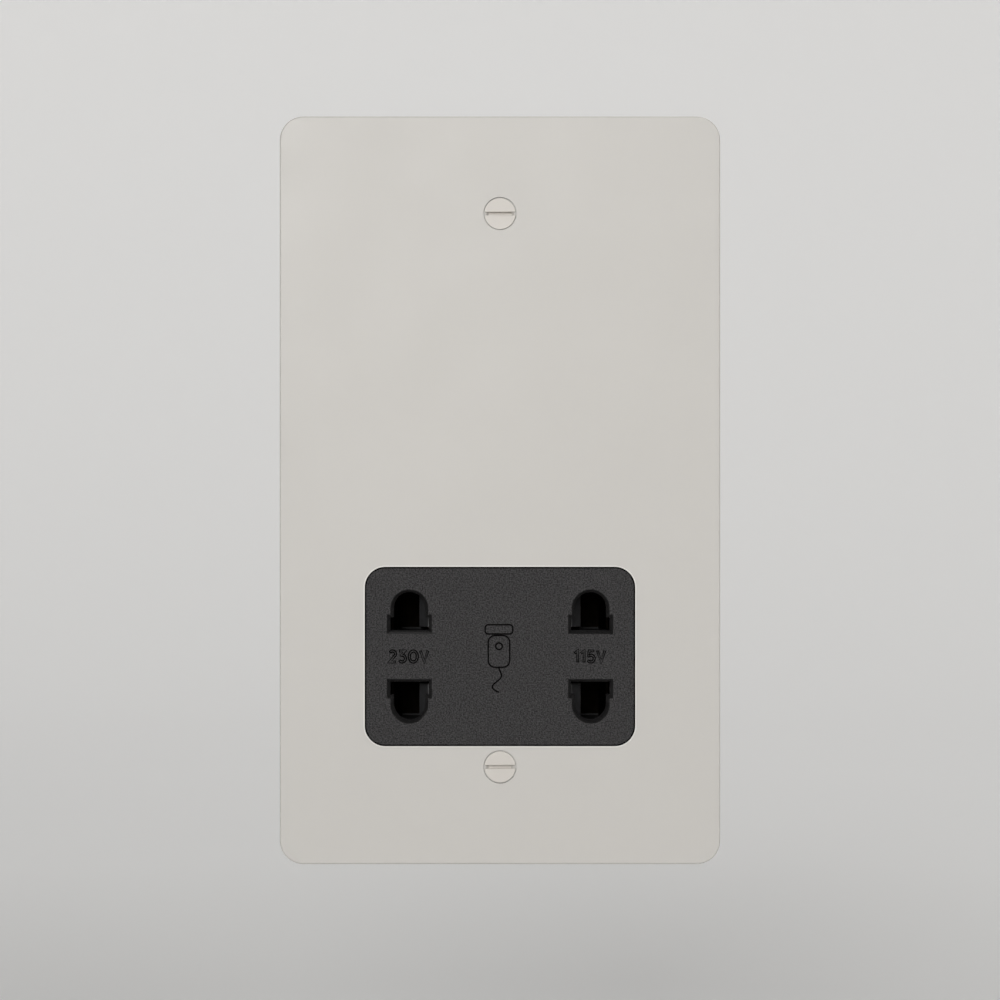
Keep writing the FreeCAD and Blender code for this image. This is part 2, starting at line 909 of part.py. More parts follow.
def make_rear_housing():
    body = new_body("rear_housing")
    shell = new_sketch(body, "XZ_Plane", flange_back)
    housing_outline(shell, as_size(0))
    pad(shell, housing_depth - flange_back)
    dress(body, "Fillet", s.housing_corner_radius, is_outer_corner)
    dress(body, "Fillet", s.housing_step_round, is_step_corner)
    rear = housing_depth
    dress(body, "Chamfer", s.housing_rear_bevel, lambda e: in_plane(e, "Y", rear))
    hollow = new_sketch(body, "XZ_Plane", flange_back)
    housing_outline(hollow, s.housing_wall)
    pocket(hollow, housing_inside - flange_back)
    dress(body, "Fillet", s.housing_corner_radius - s.housing_wall, is_inner_corner)

    bosses = new_sketch(body, "XZ_Plane", pillar_back)
    screw_holes = new_sketch(body, "XZ_Plane", pillar_back)
    recesses = new_sketch(body, "XZ_Plane", housing_depth - s.recess_depth)
    for x, z in pillar_places():
        circle(bosses, x, z, s.boss_radius)
        circle(screw_holes, x, z, s.boss_hole_radius)
        circle(recesses, x, z, s.recess_radius)
    pad(bosses, housing_inside - pillar_back)
    pocket(screw_holes, housing_depth - pillar_back)
    pocket(recesses, s.recess_depth)

    posts = new_sketch(body, "XZ_Plane", core_back)
    core_posts(posts)
    pad(posts, housing_inside - core_back)

    access = new_sketch(body, "XZ_Plane", housing_inside)
    entries = new_sketch(body, "XY_Plane", housing_bottom)
    for x in terminal_offsets():
        circle(access, x, clamp_low + s.clamp_height / 2, s.access_hole_radius)
        rectangle(
            entries,
            x - s.entry_width / 2,
            x + s.entry_width / 2,
            wire_depth - s.entry_depth / 2,
            wire_depth + s.entry_depth / 2,
        )
    pocket(access, s.housing_rear_wall)
    pocket(entries, s.housing_wall)

    window = new_sketch(body, "XY_Plane", housing_bottom)
    rectangle(
        window,
        -s.hook_half_width - s.hook_gap,
        s.hook_half_width + s.hook_gap,
        flange_back + s.hook_start,
        flange_back + s.hook_start + s.hook_length,
    )
    pocket(window, s.housing_wall)
    earth_hole = new_sketch(body, "YZ_Plane", neck_half_width - s.housing_wall)
    circle(earth_hole, *earth_lead_place(), s.earth_hole_radius)
    pocket(earth_hole, s.housing_wall)
    return finished(body, "rear_housing")


def earth_lead_place():
    """Where the earth lead passes the housing's side: its depth and height."""
    return flange_back + s.earth_lead_depth, neck_top - s.boss_radius - s.earth_lead_drop


def is_step_corner(edge):
    """A corner where the housing steps in from the transformer to the insert."""
    return along(edge, "Y") and near(edge.BoundBox.ZMin, neck_top.number)


def is_outer_corner(edge):
    return along(edge, "Y") and not near(edge.BoundBox.ZMin, neck_top.number)


def is_inner_corner(edge):
    """A corner inside the hollow, which stops at the rear wall."""
    step = (neck_top + s.housing_wall).number
    return (
        along(edge, "Y")
        and near(edge.BoundBox.YMax, housing_inside.number)
        and near(edge.BoundBox.YMin, flange_back.number)
        and not near(edge.BoundBox.ZMin, step)
    )


def terminal_offsets():
    return [-s.terminal_pitch, as_size(0), s.terminal_pitch]


def headed_screw(body, tip, seat, radius, head_radius, head_height):
    """A plain screw along Y: shank from its tip to the seat, with a round flat head behind."""
    turned(
        body,
        [
            (0, tip),
            (radius, tip),
            (radius, seat),
            (head_radius, seat),
            (head_radius, seat + head_height),
            (0, seat + head_height),
        ],
    )


def make_housing_screws():
    """Long screws that pass the bosses of the housing and bite in the pillars."""
    body = new_body("housing_screw")
    headed_screw(
        body,
        pillar_back - s.housing_screw_reach,
        housing_depth - s.recess_depth,
        s.housing_screw_radius,
        s.housing_head_radius,
        s.housing_head_height,
    )
    return group("housing_screws", body, pillar_places())


def make_interlock_shutter():
    """The sliding shutter: a bar of ramps for each row of apertures, joined by a web with two
    guide slots, and a tongue whose peg works the switch."""
    body = new_body("interlock_shutter")
    z0 = insert_middle
    long, web = shutter_half_length, s.shutter_web_half_length
    inner, outer = s.shutter_bar_inner, s.shutter_bar_outer
    plate = new_sketch(body, "XZ_Plane", shutter_front)
    outline(
        plate,
        [
            (-long, z0 - outer),
            (long, z0 - outer),
            (long, z0 - inner),
            (web, z0 - inner),
            (web, z0 + inner),
            (long, z0 + inner),
            (long, z0 + outer),
            (s.tongue_half_width, z0 + outer),
            (s.tongue_half_width, carrier_top + s.tongue_reach),
            (-s.tongue_half_width, carrier_top + s.tongue_reach),
            (-s.tongue_half_width, z0 + outer),
            (-long, z0 + outer),
            (-long, z0 + inner),
            (-web, z0 + inner),
            (-web, z0 - inner),
            (-long, z0 - inner),
        ],
    )
    pad(plate, s.shutter_thickness)
    dress(body, "Chamfer", s.shutter_ramp, is_ramp_edge)
    guides = new_sketch(body, "XZ_Plane", shutter_front)
    for x, z in mirrored_places(s.post_offset, z0):
        travel = s.shutter_travel + s.shutter_gap
        obround(guides, x - travel, x + travel, z, s.post_radius + s.guide_gap)
    pocket(guides, s.shutter_thickness)
    peg = new_sketch(body, "XZ_Plane", shutter_back)
    circle(peg, 0, carrier_top + s.peg_reach, s.peg_radius)
    pad(peg, s.peg_length)
    lug = new_sketch(body, "XZ_Plane", shutter_back)
    spring_lug(lug, s.spring_lug_height)
    pad(lug, s.trough_depth)
    return finished(body, "interlock_shutter")


def spring_lug(sketch, height):
    """A small lug between the legs of the centring spring."""
    half = s.spring_bend_radius
    low = insert_middle + height
    rectangle(sketch, -half, half, low, low + s.spring_lug_size)


def is_ramp_edge(edge):
    """A front edge at the end of a bar, which the pins meet first."""
    return (
        in_plane(edge, "Y", shutter_front)
        and along(edge, "Z")
        and near(abs(edge.BoundBox.XMin), shutter_half_length.number)
    )


def clip_pocket(sketch, side, way, gap):
    """The room round one spring clip, seen from the front."""
    centre = side * s.aperture_offset
    half = s.clip_mouth + s.clip_sheet + gap
    ends = (
        insert_middle + way * (s.clip_inner - gap),
        insert_middle + way * (s.clip_outer + gap),
    )
    low, high = ends if way > 0 else ends[::-1]
    rectangle(sketch, centre - half, centre + half, low, high)


def make_contact_carrier():
    """Holds the clips in four rooms open to the rear, and guides the shutter on its front."""
    body = new_body("contact_carrier")
    z0 = insert_middle
    half = carrier_half_width
    block = new_sketch(body, "XZ_Plane", carrier_front)
    rectangle(block, -half, half, carrier_bottom, carrier_top)
    pad(block, s.carrier_depth)
    inset = s.housing_corner_radius - s.housing_wall
    dress(body, "Fillet", inset, lambda e: along(e, "Y"))

    rails = new_sketch(body, "XZ_Plane", flange_back)
    rail_high, rail_low = z0 + rail_reach, z0 - rail_reach
    gate = s.tongue_half_width + s.shutter_travel + s.shutter_gap
    outline(
        rails,
        [
            (-half + inset, carrier_bottom),
            (half - inset, carrier_bottom),
            (half, carrier_bottom + inset),
            (half, carrier_top - inset),
            (half - inset, carrier_top),
            (gate, carrier_top),
            (gate, rail_high),
            (rail_inside, rail_high),
            (rail_inside, rail_low),
            (-rail_inside, rail_low),
            (-rail_inside, rail_high),
            (-gate, rail_high),
            (-gate, carrier_top),
            (-half + inset, carrier_top),
            (-half, carrier_top - inset),
            (-half, carrier_bottom + inset),
        ],
    )
    pad(rails, carrier_front - flange_back)
    guide_posts = new_sketch(body, "XZ_Plane", flange_back)
    for x, z in mirrored_places(s.post_offset, z0):
        circle(guide_posts, x, z, s.post_radius)
    pad(guide_posts, carrier_front - flange_back)

    rooms = new_sketch(body, "XZ_Plane", carrier_front + s.carrier_front_wall)
    windows = new_sketch(body, "XZ_Plane", carrier_front)
    for side, way in APERTURES:
        clip_pocket(rooms, side, way, s.clip_pocket_gap)
        aperture(windows, side, way, s.carrier_gap)
    pocket(rooms, s.carrier_depth - s.carrier_front_wall)
    pocket(windows, s.carrier_front_wall)

    trough = new_sketch(body, "XZ_Plane", carrier_front)
    rectangle(
        trough,
        -s.trough_half_width,
        s.trough_half_width,
        z0 - s.trough_low,
        z0 + s.trough_high,
    )
    pocket(trough, s.trough_depth)
    spring_stops = new_sketch(body, "XZ_Plane", carrier_front)
    circle(spring_stops, 0, z0 - s.spring_bend_drop, s.spring_bend_radius)
    spring_lug(spring_stops, s.spring_stop_height)
    pad(spring_stops, s.trough_depth)

    strip_room = new_sketch(body, "XZ_Plane", carrier_back - s.clip_sheet - s.leaf_gap)
    low, high = strip_heights()
    rectangle(
        strip_room,
        -s.aperture_offset,
        s.aperture_offset,
        low - s.carrier_gap,
        high + s.carrier_gap,
    )
    pocket(strip_room, s.clip_sheet + s.leaf_gap)

    make_switch_lug(body)
    screw_holes = new_sketch(body, "XZ_Plane", flange_back)
    for x, z in mirrored_places(s.post_offset, z0):
        circle(screw_holes, x, z, s.carrier_screw_radius + s.carrier_screw_gap)
    pocket(screw_holes, carrier_back - flange_back)
    return finished(body, "contact_carrier")


def strip_heights():
    """The common strip runs between the two lower clips, next to their inner ends."""
    high = insert_middle - s.clip_inner
    return high - s.strip_width, high


def make_switch_lug(body):
    """A lug on top of the carrier with slots for the leaves of the switch."""
    lug = new_sketch(body, "XZ_Plane", carrier_back - s.lug_thickness)
    rectangle(
        lug, -s.lug_half_width, s.lug_half_width, carrier_top - s.lug_root, lug_top
    )
    pad(lug, s.lug_thickness)
    slots = new_sketch(body, "XZ_Plane", carrier_back - s.lug_thickness)
    low, high = leaf_low, leaf_low + s.leaf_width
    moving = s.peg_radius + s.leaf_gap
    for near_face, sheet_thickness in (
        (moving, s.leaf_sheet),
        (s.fixed_leaf_offset, s.fixed_leaf_sheet),
    ):
        far_face = near_face + sheet_thickness
        rectangle(slots, near_face, far_face, low, high)
        rectangle(slots, -far_face, -near_face, low, high)
    pocket(slots, s.lug_thickness)


def make_contact_retainer():
    """A flat cover that keeps the clips in the carrier and lets their tags through."""
    body = new_body("contact_retainer")
    half = carrier_half_width - s.retainer_inset
    cover = new_sketch(body, "XZ_Plane", carrier_back)
    low, high = carrier_bottom + s.retainer_inset, carrier_top - s.clip_sheet
    rectangle(cover, -half, half, low, high)
    pad(cover, s.retainer_thickness)
    openings = new_sketch(body, "XZ_Plane", carrier_back)
    for side, way in CLIP_TAGS:
        x, low, high = tag_place(side, way)
        half_gap = s.clip_sheet / 2 + s.clip_pocket_gap
        gap = s.clip_pocket_gap
        rectangle(openings, x - half_gap, x + half_gap, low - gap, high + gap)
    for x, z in mirrored_places(s.post_offset, insert_middle):
        circle(openings, x, z, s.carrier_screw_radius + s.carrier_screw_gap)
    pocket(openings, s.retainer_thickness)
    return finished(body, "contact_retainer")


def make_carrier_screws():
    body = new_body("carrier_screw")
    headed_screw(
        body,
        flange_back - s.carrier_screw_bite,
        retainer_back,
        s.carrier_screw_radius,
        s.carrier_head_radius,
        s.carrier_head_height,
    )
    places = mirrored_places(s.post_offset, insert_middle)
    return group("carrier_screws", body, places)


def clip(body, side, way, first):
    """One spring clip: two leaves that flare at the mouth, close to a waist and open again."""
    centre = side * s.aperture_offset
    sheet_thickness = s.clip_sheet
    mouth_depth = carrier_front + s.carrier_front_wall
    waist_depth = mouth_depth + s.clip_waist_depth
    floor = carrier_back
    rows = [
        (s.clip_mouth, mouth_depth),
        (s.clip_waist, waist_depth),
        (s.clip_base, floor - sheet_thickness),
    ]
    outer_rows = [
        (s.clip_base + sheet_thickness, floor),
        (s.clip_waist + sheet_thickness, waist_depth),
        (s.clip_mouth + sheet_thickness, mouth_depth),
    ]
    corners = [(centre + x, y) for x, y in rows]
    corners += [(centre - x, y) for x, y in rows[::-1]]
    corners += [(centre - x, y) for x, y in outer_rows[::-1]]
    corners += [(centre + x, y) for x, y in outer_rows]
    ends = [insert_middle + way * v for v in (s.clip_inner, s.clip_outer)]
    low, high = ends if way > 0 else ends[::-1]
    section = new_sketch(body, "XY_Plane", low)
    outline(section, corners)
    pad(section, high - low)
    if first:
        dress(body, "Fillet", s.clip_bend_radius, is_clip_bend)


def is_clip_bend(edge):
    """A bend at the waist of a spring clip."""
    waist = carrier_front + s.carrier_front_wall + s.clip_waist_depth
    return along(edge, "Z") and near(edge.BoundBox.YMin, waist.number)


# The clips that carry a soldering tag: both upper ones and the lower left one
CLIP_TAGS = [(-1, 1), (1, 1), (-1, -1)]


def tag_place(side, way):
    """A tag's centre and its lower and upper end."""
    middle = insert_middle + way * (s.clip_inner + s.clip_outer) / 2
    return side * s.aperture_offset, middle - s.tag_width / 2, middle + s.tag_width / 2


def clip_tag(body, side, way):
    x, low, high = tag_place(side, way)
    tag = new_sketch(body, "XZ_Plane", carrier_back - s.clip_sheet)
    rectangle(tag, x - s.clip_sheet / 2, x + s.clip_sheet / 2, low, high)
    pad(tag, s.tag_length + s.clip_sheet)


def make_upper_contact(label, side):
    body = new_body(label)
    clip(body, side, 1, True)
    clip_tag(body, side, 1)
    return finished(body, label)


def make_contact_common():
    """Both lower clips and the strip that joins their bases, pressed from one sheet."""
    body = new_body("contact_common")
    clip(body, -1, -1, True)
    strip = new_sketch(body, "XZ_Plane", carrier_back - s.clip_sheet)
    low, high = strip_heights()
    rectangle(strip, -s.aperture_offset, s.aperture_offset, low, high)
    pad(strip, s.clip_sheet)
    clip(body, 1, -1, False)
    clip_tag(body, -1, -1)
    return finished(body, "contact_common")


def make_centring_spring():
    """A flat hairpin spring. Its legs straddle a stop of the carrier and the shutter's lug, so
    that it pulls the shutter back from either side."""
    body = new_body("centring_spring")
    inner = s.spring_bend_radius
    outer = inner + s.spring_sheet
    bend = insert_middle - s.spring_bend_drop
    top = insert_middle + s.spring_leg_top
    section = new_sketch(body, "XZ_Plane", carrier_front + s.shutter_gap)
    outline(
        section,
        [
            (outer, top),
            (inner, top),
            (inner, bend, (0, bend, "right")),
            (-inner, bend),
            (-inner, top),
            (-outer, top),
            (-outer, bend, (0, bend, "left")),
            (outer, bend),
        ],
    )
    pad(section, s.spring_width)
    return finished(body, "centring_spring")


def make_switch_fork():
    """The moving leaves, one each side of the shutter's peg, joined behind the lug."""
    body = new_body("switch_fork")
    inner = s.peg_radius + s.leaf_gap
    outer = inner + s.leaf_sheet
    floor = carrier_back
    fork = new_sketch(body, "XY_Plane", leaf_low)
    u_profile(fork, inner, outer, leaf_tip, floor, s.leaf_sheet)
    pad(fork, s.leaf_width)
    tag = new_sketch(body, "XZ_Plane", floor)
    high = leaf_low + s.leaf_width
    half = s.switch_tag_half_width
    rectangle(tag, -half, half, high - s.switch_tag_height, high)
    pad(tag, s.leaf_sheet + s.switch_tag_length)
    return finished(body, "switch_fork")


def u_profile(sketch, inner, outer, tip, floor, base):
    """A U that opens towards the front."""
    outline(
        sketch,
        [
            (-outer, tip),
            (-inner, tip),
            (-inner, floor),
            (inner, floor),
            (inner, tip),
            (outer, tip),
            (outer, floor + base),
            (-outer, floor + base),
        ],
    )


def make_switch_contacts():
    """The fixed leaves with their square silver tips, joined behind the fork."""
    body = new_body("switch_contacts")
    inner = s.fixed_leaf_offset
    outer = inner + s.fixed_leaf_sheet
    floor = carrier_back + s.fixed_overhang
    frame = new_sketch(body, "XY_Plane", leaf_low)
    u_profile(frame, inner, outer, fixed_leaf_tip, floor, s.fixed_leaf_sheet)
    pad(frame, s.leaf_width / 2)
    wide = new_sketch(body, "XY_Plane", leaf_low + s.leaf_width / 2)
    for left, right in ((-outer, -inner), (inner, outer)):
        rectangle(wide, left, right, fixed_leaf_tip, carrier_back)
    pad(wide, s.leaf_width / 2)
    middle = leaf_low + s.leaf_width / 2
    half = s.contact_tip_half
    depth = contact_tip_depth
    for start in (-inner, inner - s.contact_tip_height):
        tip = new_sketch(body, "YZ_Plane", start)
        rectangle(tip, depth - half, depth + half, middle - half, middle + half)
        pad(tip, s.contact_tip_height)
    tag = new_sketch(body, "XZ_Plane", floor)
    half = s.switch_tag_half_width
    rectangle(tag, -half, half, leaf_low, leaf_low + s.switch_tag_height)
    pad(tag, s.fixed_leaf_sheet + s.switch_tag_length)
    return finished(body, "switch_contacts")


def make_core_e_stack():
    """E laminations with their yoke on top and three legs down."""
    body = new_body("core_e_stack")
    half, leg = core_width / 2, s.core_leg / 2
    window = half - s.core_yoke
    foot = core_window_low
    section = new_sketch(body, "XZ_Plane", core_front)
    outline(
        section,
        [
            (-half, foot),
            (-window, foot),
            (-window, core_window_high),
            (-leg, core_window_high),
            (-leg, foot),
            (leg, foot),
            (leg, core_window_high),
            (window, core_window_high),
            (window, foot),
            (half, foot),
            (half, core_top),
            (-half, core_top),
        ],
    )
    pad(section, s.core_stack)
    return finished(body, "core_e_stack")


def make_core_i_stack():
    body = new_body("core_i_stack")
    half = core_width / 2
    section = new_sketch(body, "XZ_Plane", core_front)
    rectangle(section, -half, half, core_bottom, core_window_low)
    pad(section, s.core_stack)
    return finished(body, "core_i_stack")


def make_core_clamp():
    """A steel strap folded round the core, with two tabs bent in under it."""
    body = new_body("core_clamp")
    inner = core_width / 2
    outer = inner + s.clamp_sheet
    low = core_bottom - s.clamp_sheet
    high = core_top + s.clamp_sheet
    tab = inner - s.clamp_tab
    strap = new_sketch(body, "XZ_Plane", core_front)
    outline(
        strap,
        [
            (-outer, low),
            (-tab, low),
            (-tab, core_bottom),
            (-inner, core_bottom),
            (-inner, core_top),
            (inner, core_top),
            (inner, core_bottom),
            (tab, core_bottom),
            (tab, low),
            (outer, low),
            (outer, high),
            (-outer, high),
        ],
    )
    pad(strap, s.core_stack)
    dress(body, "Fillet", s.clamp_sheet, is_clamp_fold)
    return finished(body, "core_clamp")


def is_clamp_fold(edge):
    outer = (core_width / 2 + s.clamp_sheet).number
    return along(edge, "Y") and near(abs(edge.BoundBox.XMin), outer)


def make_core_pads():
    """Rubber pads between the core and the posts of the front moulding."""
    body = new_body("core_pad")
    half = s.core_pad_size / 2
    section = new_sketch(body, "XZ_Plane", core_front - s.core_pad_thickness)
    rectangle(section, -half, half, -half, half)
    pad(section, s.core_pad_thickness)
    x = (core_width - s.core_post_size) / 2
    low, high = (z + s.core_post_size / 2 for z in core_post_lows())
    return group("core_pads", body, mirrored_places(x, low) + mirrored_places(x, high))


def coil_rectangle(sketch, grow, radius=None):
    """A rectangle round the centre leg, seen along it and grown by a distance."""
    half_x = s.core_leg / 2 + grow
    half_y = s.core_stack / 2 + grow
    sides = (-half_x, half_x, core_middle - half_y, core_middle + half_y)
    if radius is None:
        rectangle(sketch, *sides)
    else:
        rounded_rectangle(sketch, *sides, radius)


def bobbin_flanges():
    """The lower faces of the coil former's two end flanges and its middle wall."""
    low = core_window_low
    high = core_window_high - s.bobbin_gap - s.bobbin_flange
    return [low, (low + high) / 2, high]


def make_bobbin():
    """A two-chamber coil former, so that the two windings lie side by side."""
    body = new_body("bobbin")
    low, middle, high = bobbin_flanges()
    tube = new_sketch(body, "XY_Plane", low)
    coil_rectangle(tube, s.bobbin_gap + s.bobbin_wall)
    pad(tube, high + s.bobbin_flange - low)
    for level in (low, middle, high):
        flange = new_sketch(body, "XY_Plane", level)
        coil_rectangle(flange, s.bobbin_gap + bobbin_overhang)
        pad(flange, s.bobbin_flange)
    hole = new_sketch(body, "XY_Plane", low)
    coil_rectangle(hole, s.bobbin_gap)
    pocket(hole, high + s.bobbin_flange - low)
    return finished(body, "bobbin")


def make_winding(label, below, above):
    body = new_body(label)
    inner = s.bobbin_gap + s.bobbin_wall
    section = new_sketch(body, "XY_Plane", below + s.bobbin_flange)
    coil_rectangle(section, inner + winding_build, s.winding_corner_radius)
    coil_rectangle(section, inner)
    pad(section, above - below - s.bobbin_flange)
    return finished(body, label)


def make_coil_tags():
    """Square pins under the lower flange of the coil former, along its rear edge."""
    body = new_body("coil_tag")
    half = s.coil_tag_size / 2
    section = new_sketch(body, "XY_Plane", coil_tag_end)
    rectangle(section, -half, half, coil_tag_depth - half, coil_tag_depth + half)
    pad(section, s.coil_tag_length)
    return group("coil_tags", body, [(x, 0) for x in coil_tag_offsets()])


def coil_tag_offsets():
    return [s.coil_tag_pitch * step for step in (-2, -1, 0, 1, 2)]


def make_thermal_cutout():
    """A flat sealed cut-out that lies on the primary winding, between the flanges."""
    body = new_body("thermal_cutout")
    low, middle, _ = bobbin_flanges()
    centre = (low + middle + s.bobbin_flange) / 2
    winding = s.bobbin_gap + s.bobbin_wall + winding_build
    half_length, half_height = s.cutout_length / 2, s.cutout_height / 2
    section = new_sketch(body, "XZ_Plane", core_back + winding)
    rectangle(
        section, -half_length, half_length, centre - half_height, centre + half_height
    )
    pad(section, s.cutout_thickness)
    return finished(body, "thermal_cutout")


def make_terminal_block():
    """A moulding with three rooms, open to the front, that stands on the housing's floor."""
    body = new_body("terminal_block")
    half = terminal_half_width
    depth = housing_inside - terminal_front
    block = new_sketch(body, "XZ_Plane", terminal_front)
    rectangle(block, -half, half, terminal_floor, terminal_top)
    pad(block, depth)
    rooms = new_sketch(body, "XZ_Plane", terminal_front)
    access = new_sketch(body, "XZ_Plane", terminal_front)
    entries = new_sketch(body, "XY_Plane", terminal_floor)
    gap = s.clamp_gap
    for x in terminal_offsets():
        left, right = x - s.clamp_width / 2 - gap, x + s.clamp_width / 2 + gap
        rectangle(rooms, left, right, clamp_low - gap, clamp_top + gap)
        circle(access, x, clamp_low + s.clamp_height / 2, s.access_hole_radius)
        rectangle(
            entries,
            x - s.entry_width / 2 + s.entry_step,
            x + s.entry_width / 2 - s.entry_step,
            wire_depth - s.entry_depth / 2 + s.entry_step / 2,
            wire_depth + s.entry_depth / 2 - s.entry_step / 2,
        )
    pocket(rooms, depth - s.terminal_wall)
    pocket(access, depth)
    pocket(entries, s.terminal_wall)
    leads = new_sketch(body, "XY_Plane", clamp_top)
    hole = s.lead_hole_half
    for x in terminal_offsets():
        rectangle(leads, x - hole, x + hole, wire_depth - hole, wire_depth + hole)
    pocket(leads, s.clamp_gap + s.terminal_roof)
    return finished(body, "terminal_block")


def make_terminal_clamps():
    """Brass blocks with a bore for the wire and a threaded hole for the clamp screw."""
    body = new_body("terminal_clamp")
    half = s.clamp_width / 2
    block = new_sketch(body, "XZ_Plane", clamp_back - s.clamp_depth)
    rectangle(block, -half, half, clamp_low, clamp_low + s.clamp_height)
    pad(block, s.clamp_depth)
    bore = new_sketch(body, "XY_Plane", clamp_low)
    circle(bore, 0, wire_depth, s.wire_bore_radius)
    pocket(bore, s.wire_bore_depth)
    thread = new_sketch(body, "XZ_Plane", wire_depth)
    screw_height = clamp_low + s.clamp_height / 2
    circle(thread, 0, screw_height, s.clamp_screw_radius + s.clamp_screw_gap)
    pocket(thread, clamp_back - wire_depth)
    return group("terminal_clamps", body, [(x, 0) for x in terminal_offsets()])


def make_terminal_screws():
    """Headless clamp screws, backed off until they are clear of the wires' bores."""
    body = new_body("terminal_screw")
    tip = wire_depth + s.wire_bore_radius + s.clamp_screw_clear
    section = new_sketch(body, "XZ_Plane", tip)
    circle(section, 0, 0, s.clamp_screw_radius)
    pad(section, clamp_back + s.clamp_screw_stand - tip)
    screw_height = clamp_low + s.clamp_height / 2
    return group("terminal_screws", body, [(x, screw_height) for x in terminal_offsets()])


def lead(label, radius, corners):
    """An insulated lead with an eight-sided section, bent at each of its corners."""
    points = [Vector(*(as_size(value).number for value in corner)) for corner in corners]
    path = doc.addObject("Part::Polygon", f"{label}_path")
    path.Nodes = points
    section = doc.addObject("Part::RegularPolygon", f"{label}_section")
    section.Polygon = 8
    bind(section, "Circumradius", radius)
    section.Placement.Base = points[0]
    section.Placement.Rotation = Rotation(Vector(0, 0, 1), points[1] - points[0])
    sweep = doc.addObject("Part::Sweep", f"{label}_sweep")
    sweep.Sections = [section]
    sweep.Spine = (path, [f"Edge{number}" for number in range(1, len(points))])
    sweep.Solid = True
    sweep.Transition = "Right corner"
    return finished(sweep, label)


def make_leads():
    """The leads between terminals, switch, coil tags and clips. Each ends on its tag."""
    tag_x = coil_tag_offsets()
    first_bend = coil_tag_end - s.lead_drop
    second_bend = first_bend - s.lead_drop
    clip_y = carrier_back + s.tag_length
    clip_bend_y = clip_y + s.lead_drop / 2
    clip_x = s.aperture_offset
    clip_middle = (s.clip_inner + s.clip_outer) / 2
    upper, lower = insert_middle + clip_middle, insert_middle - clip_middle
    for label, side, tag in (("lead_230v", -1, 0), ("lead_115v", 1, 4)):
        lead(
            label,
            s.lead_radius,
            [
                (tag_x[tag], coil_tag_depth, coil_tag_end),
                (tag_x[tag], coil_tag_depth, first_bend),
                (side * clip_x, coil_tag_depth, second_bend),
                (side * clip_x, coil_tag_depth, upper),
                (side * clip_x, clip_y, upper),
            ],
        )
    lead(
        "lead_common",
        s.lead_radius,
        [
            (tag_x[1], coil_tag_depth, coil_tag_end),
            (tag_x[1], coil_tag_depth, first_bend),
            (tag_x[1], clip_bend_y, second_bend),
            (-clip_x * 0.7, clip_bend_y, upper - s.lead_drop),
            (-clip_x, clip_bend_y, lower),
            (-clip_x, clip_y, lower),
        ],
    )
    fixed_y = carrier_back + s.fixed_overhang + s.fixed_leaf_sheet + s.switch_tag_length
    fixed_z = leaf_low + s.switch_tag_height / 2
    lead(
        "lead_live",
        s.lead_radius,
        [
            (-s.terminal_pitch, wire_depth, clamp_top),
            (-s.terminal_pitch, wire_depth, clamp_top + s.lead_drop),
            (0, coil_tag_depth - s.lead_drop / 2, upper + s.lead_drop / 2),
            (0, fixed_y + s.lead_drop / 2, fixed_z),
            (0, fixed_y, fixed_z),
        ],
    )
    lead(
        "lead_neutral",
        s.lead_radius,
        [
            (tag_x[3], coil_tag_depth, coil_tag_end),
            (tag_x[3], coil_tag_depth, first_bend),
            (s.terminal_pitch, wire_depth, second_bend),
            (s.terminal_pitch, wire_depth, clamp_top),
        ],
    )
    fork_y = carrier_back + s.leaf_sheet + s.switch_tag_length
    fork_z = leaf_low + s.leaf_width - s.switch_tag_height / 2
    lead(
        "lead_switched",
        s.lead_radius,
        [
            (0, fork_y, fork_z),
            (0, fork_y + s.lead_drop / 2, fork_z),
            (0, coil_tag_depth, coil_tag_end - s.lead_drop / 2),
            (0, coil_tag_depth, coil_tag_end),
        ],
    )
    barrel_x, stud_z = side_stud
    barrel_top = stud_z + s.earth_tag_radius + s.earth_neck_length + s.earth_barrel_length
    barrel_y = flange_back + s.earth_barrel_size / 2
    depth, height = earth_lead_place()
    lead(
        "lead_earth",
        s.earth_lead_radius,
        [
            (barrel_x, barrel_y, barrel_top),
            (barrel_x, barrel_y, height),
            (barrel_x, depth, height),
            (terminal_half_width + s.terminal_side_wall, depth, height),
            (s.lead_drop / 2, depth + s.lead_drop / 2, upper - s.lead_drop / 2),
            (0, wire_depth, clamp_top + s.lead_drop),
            (0, wire_depth, clamp_top),
        ],
    )


def check_features():
    """Stops the build if a feature failed, or if a cut or an edge feature changed nothing."""
    for thing in doc.Objects:
        if "Invalid" in thing.State or "Error" in thing.State:
            raise RuntimeError(f"{thing.Name} failed: {thing.State}")
        if thing.isDerivedFrom("PartDesign::Feature") and thing.BaseFeature:
            before, after = thing.BaseFeature.Shape, thing.Shape
            same_faces = len(before.Faces) == len(after.Faces)
            if same_faces and abs(before.Volume - after.Volume) < 1e-6:
                raise RuntimeError(f"{thing.Name} changes nothing")


def write_parts():
    os.makedirs("parts", exist_ok=True)
    for thing in FINISHED:
        shape = thing.Shape
        if shape.isNull() or not shape.isValid() or not shape.Solids:
            raise RuntimeError(f"{thing.Label} has no valid solid")
        shape.exportStep(f"parts/{thing.Label}.step")


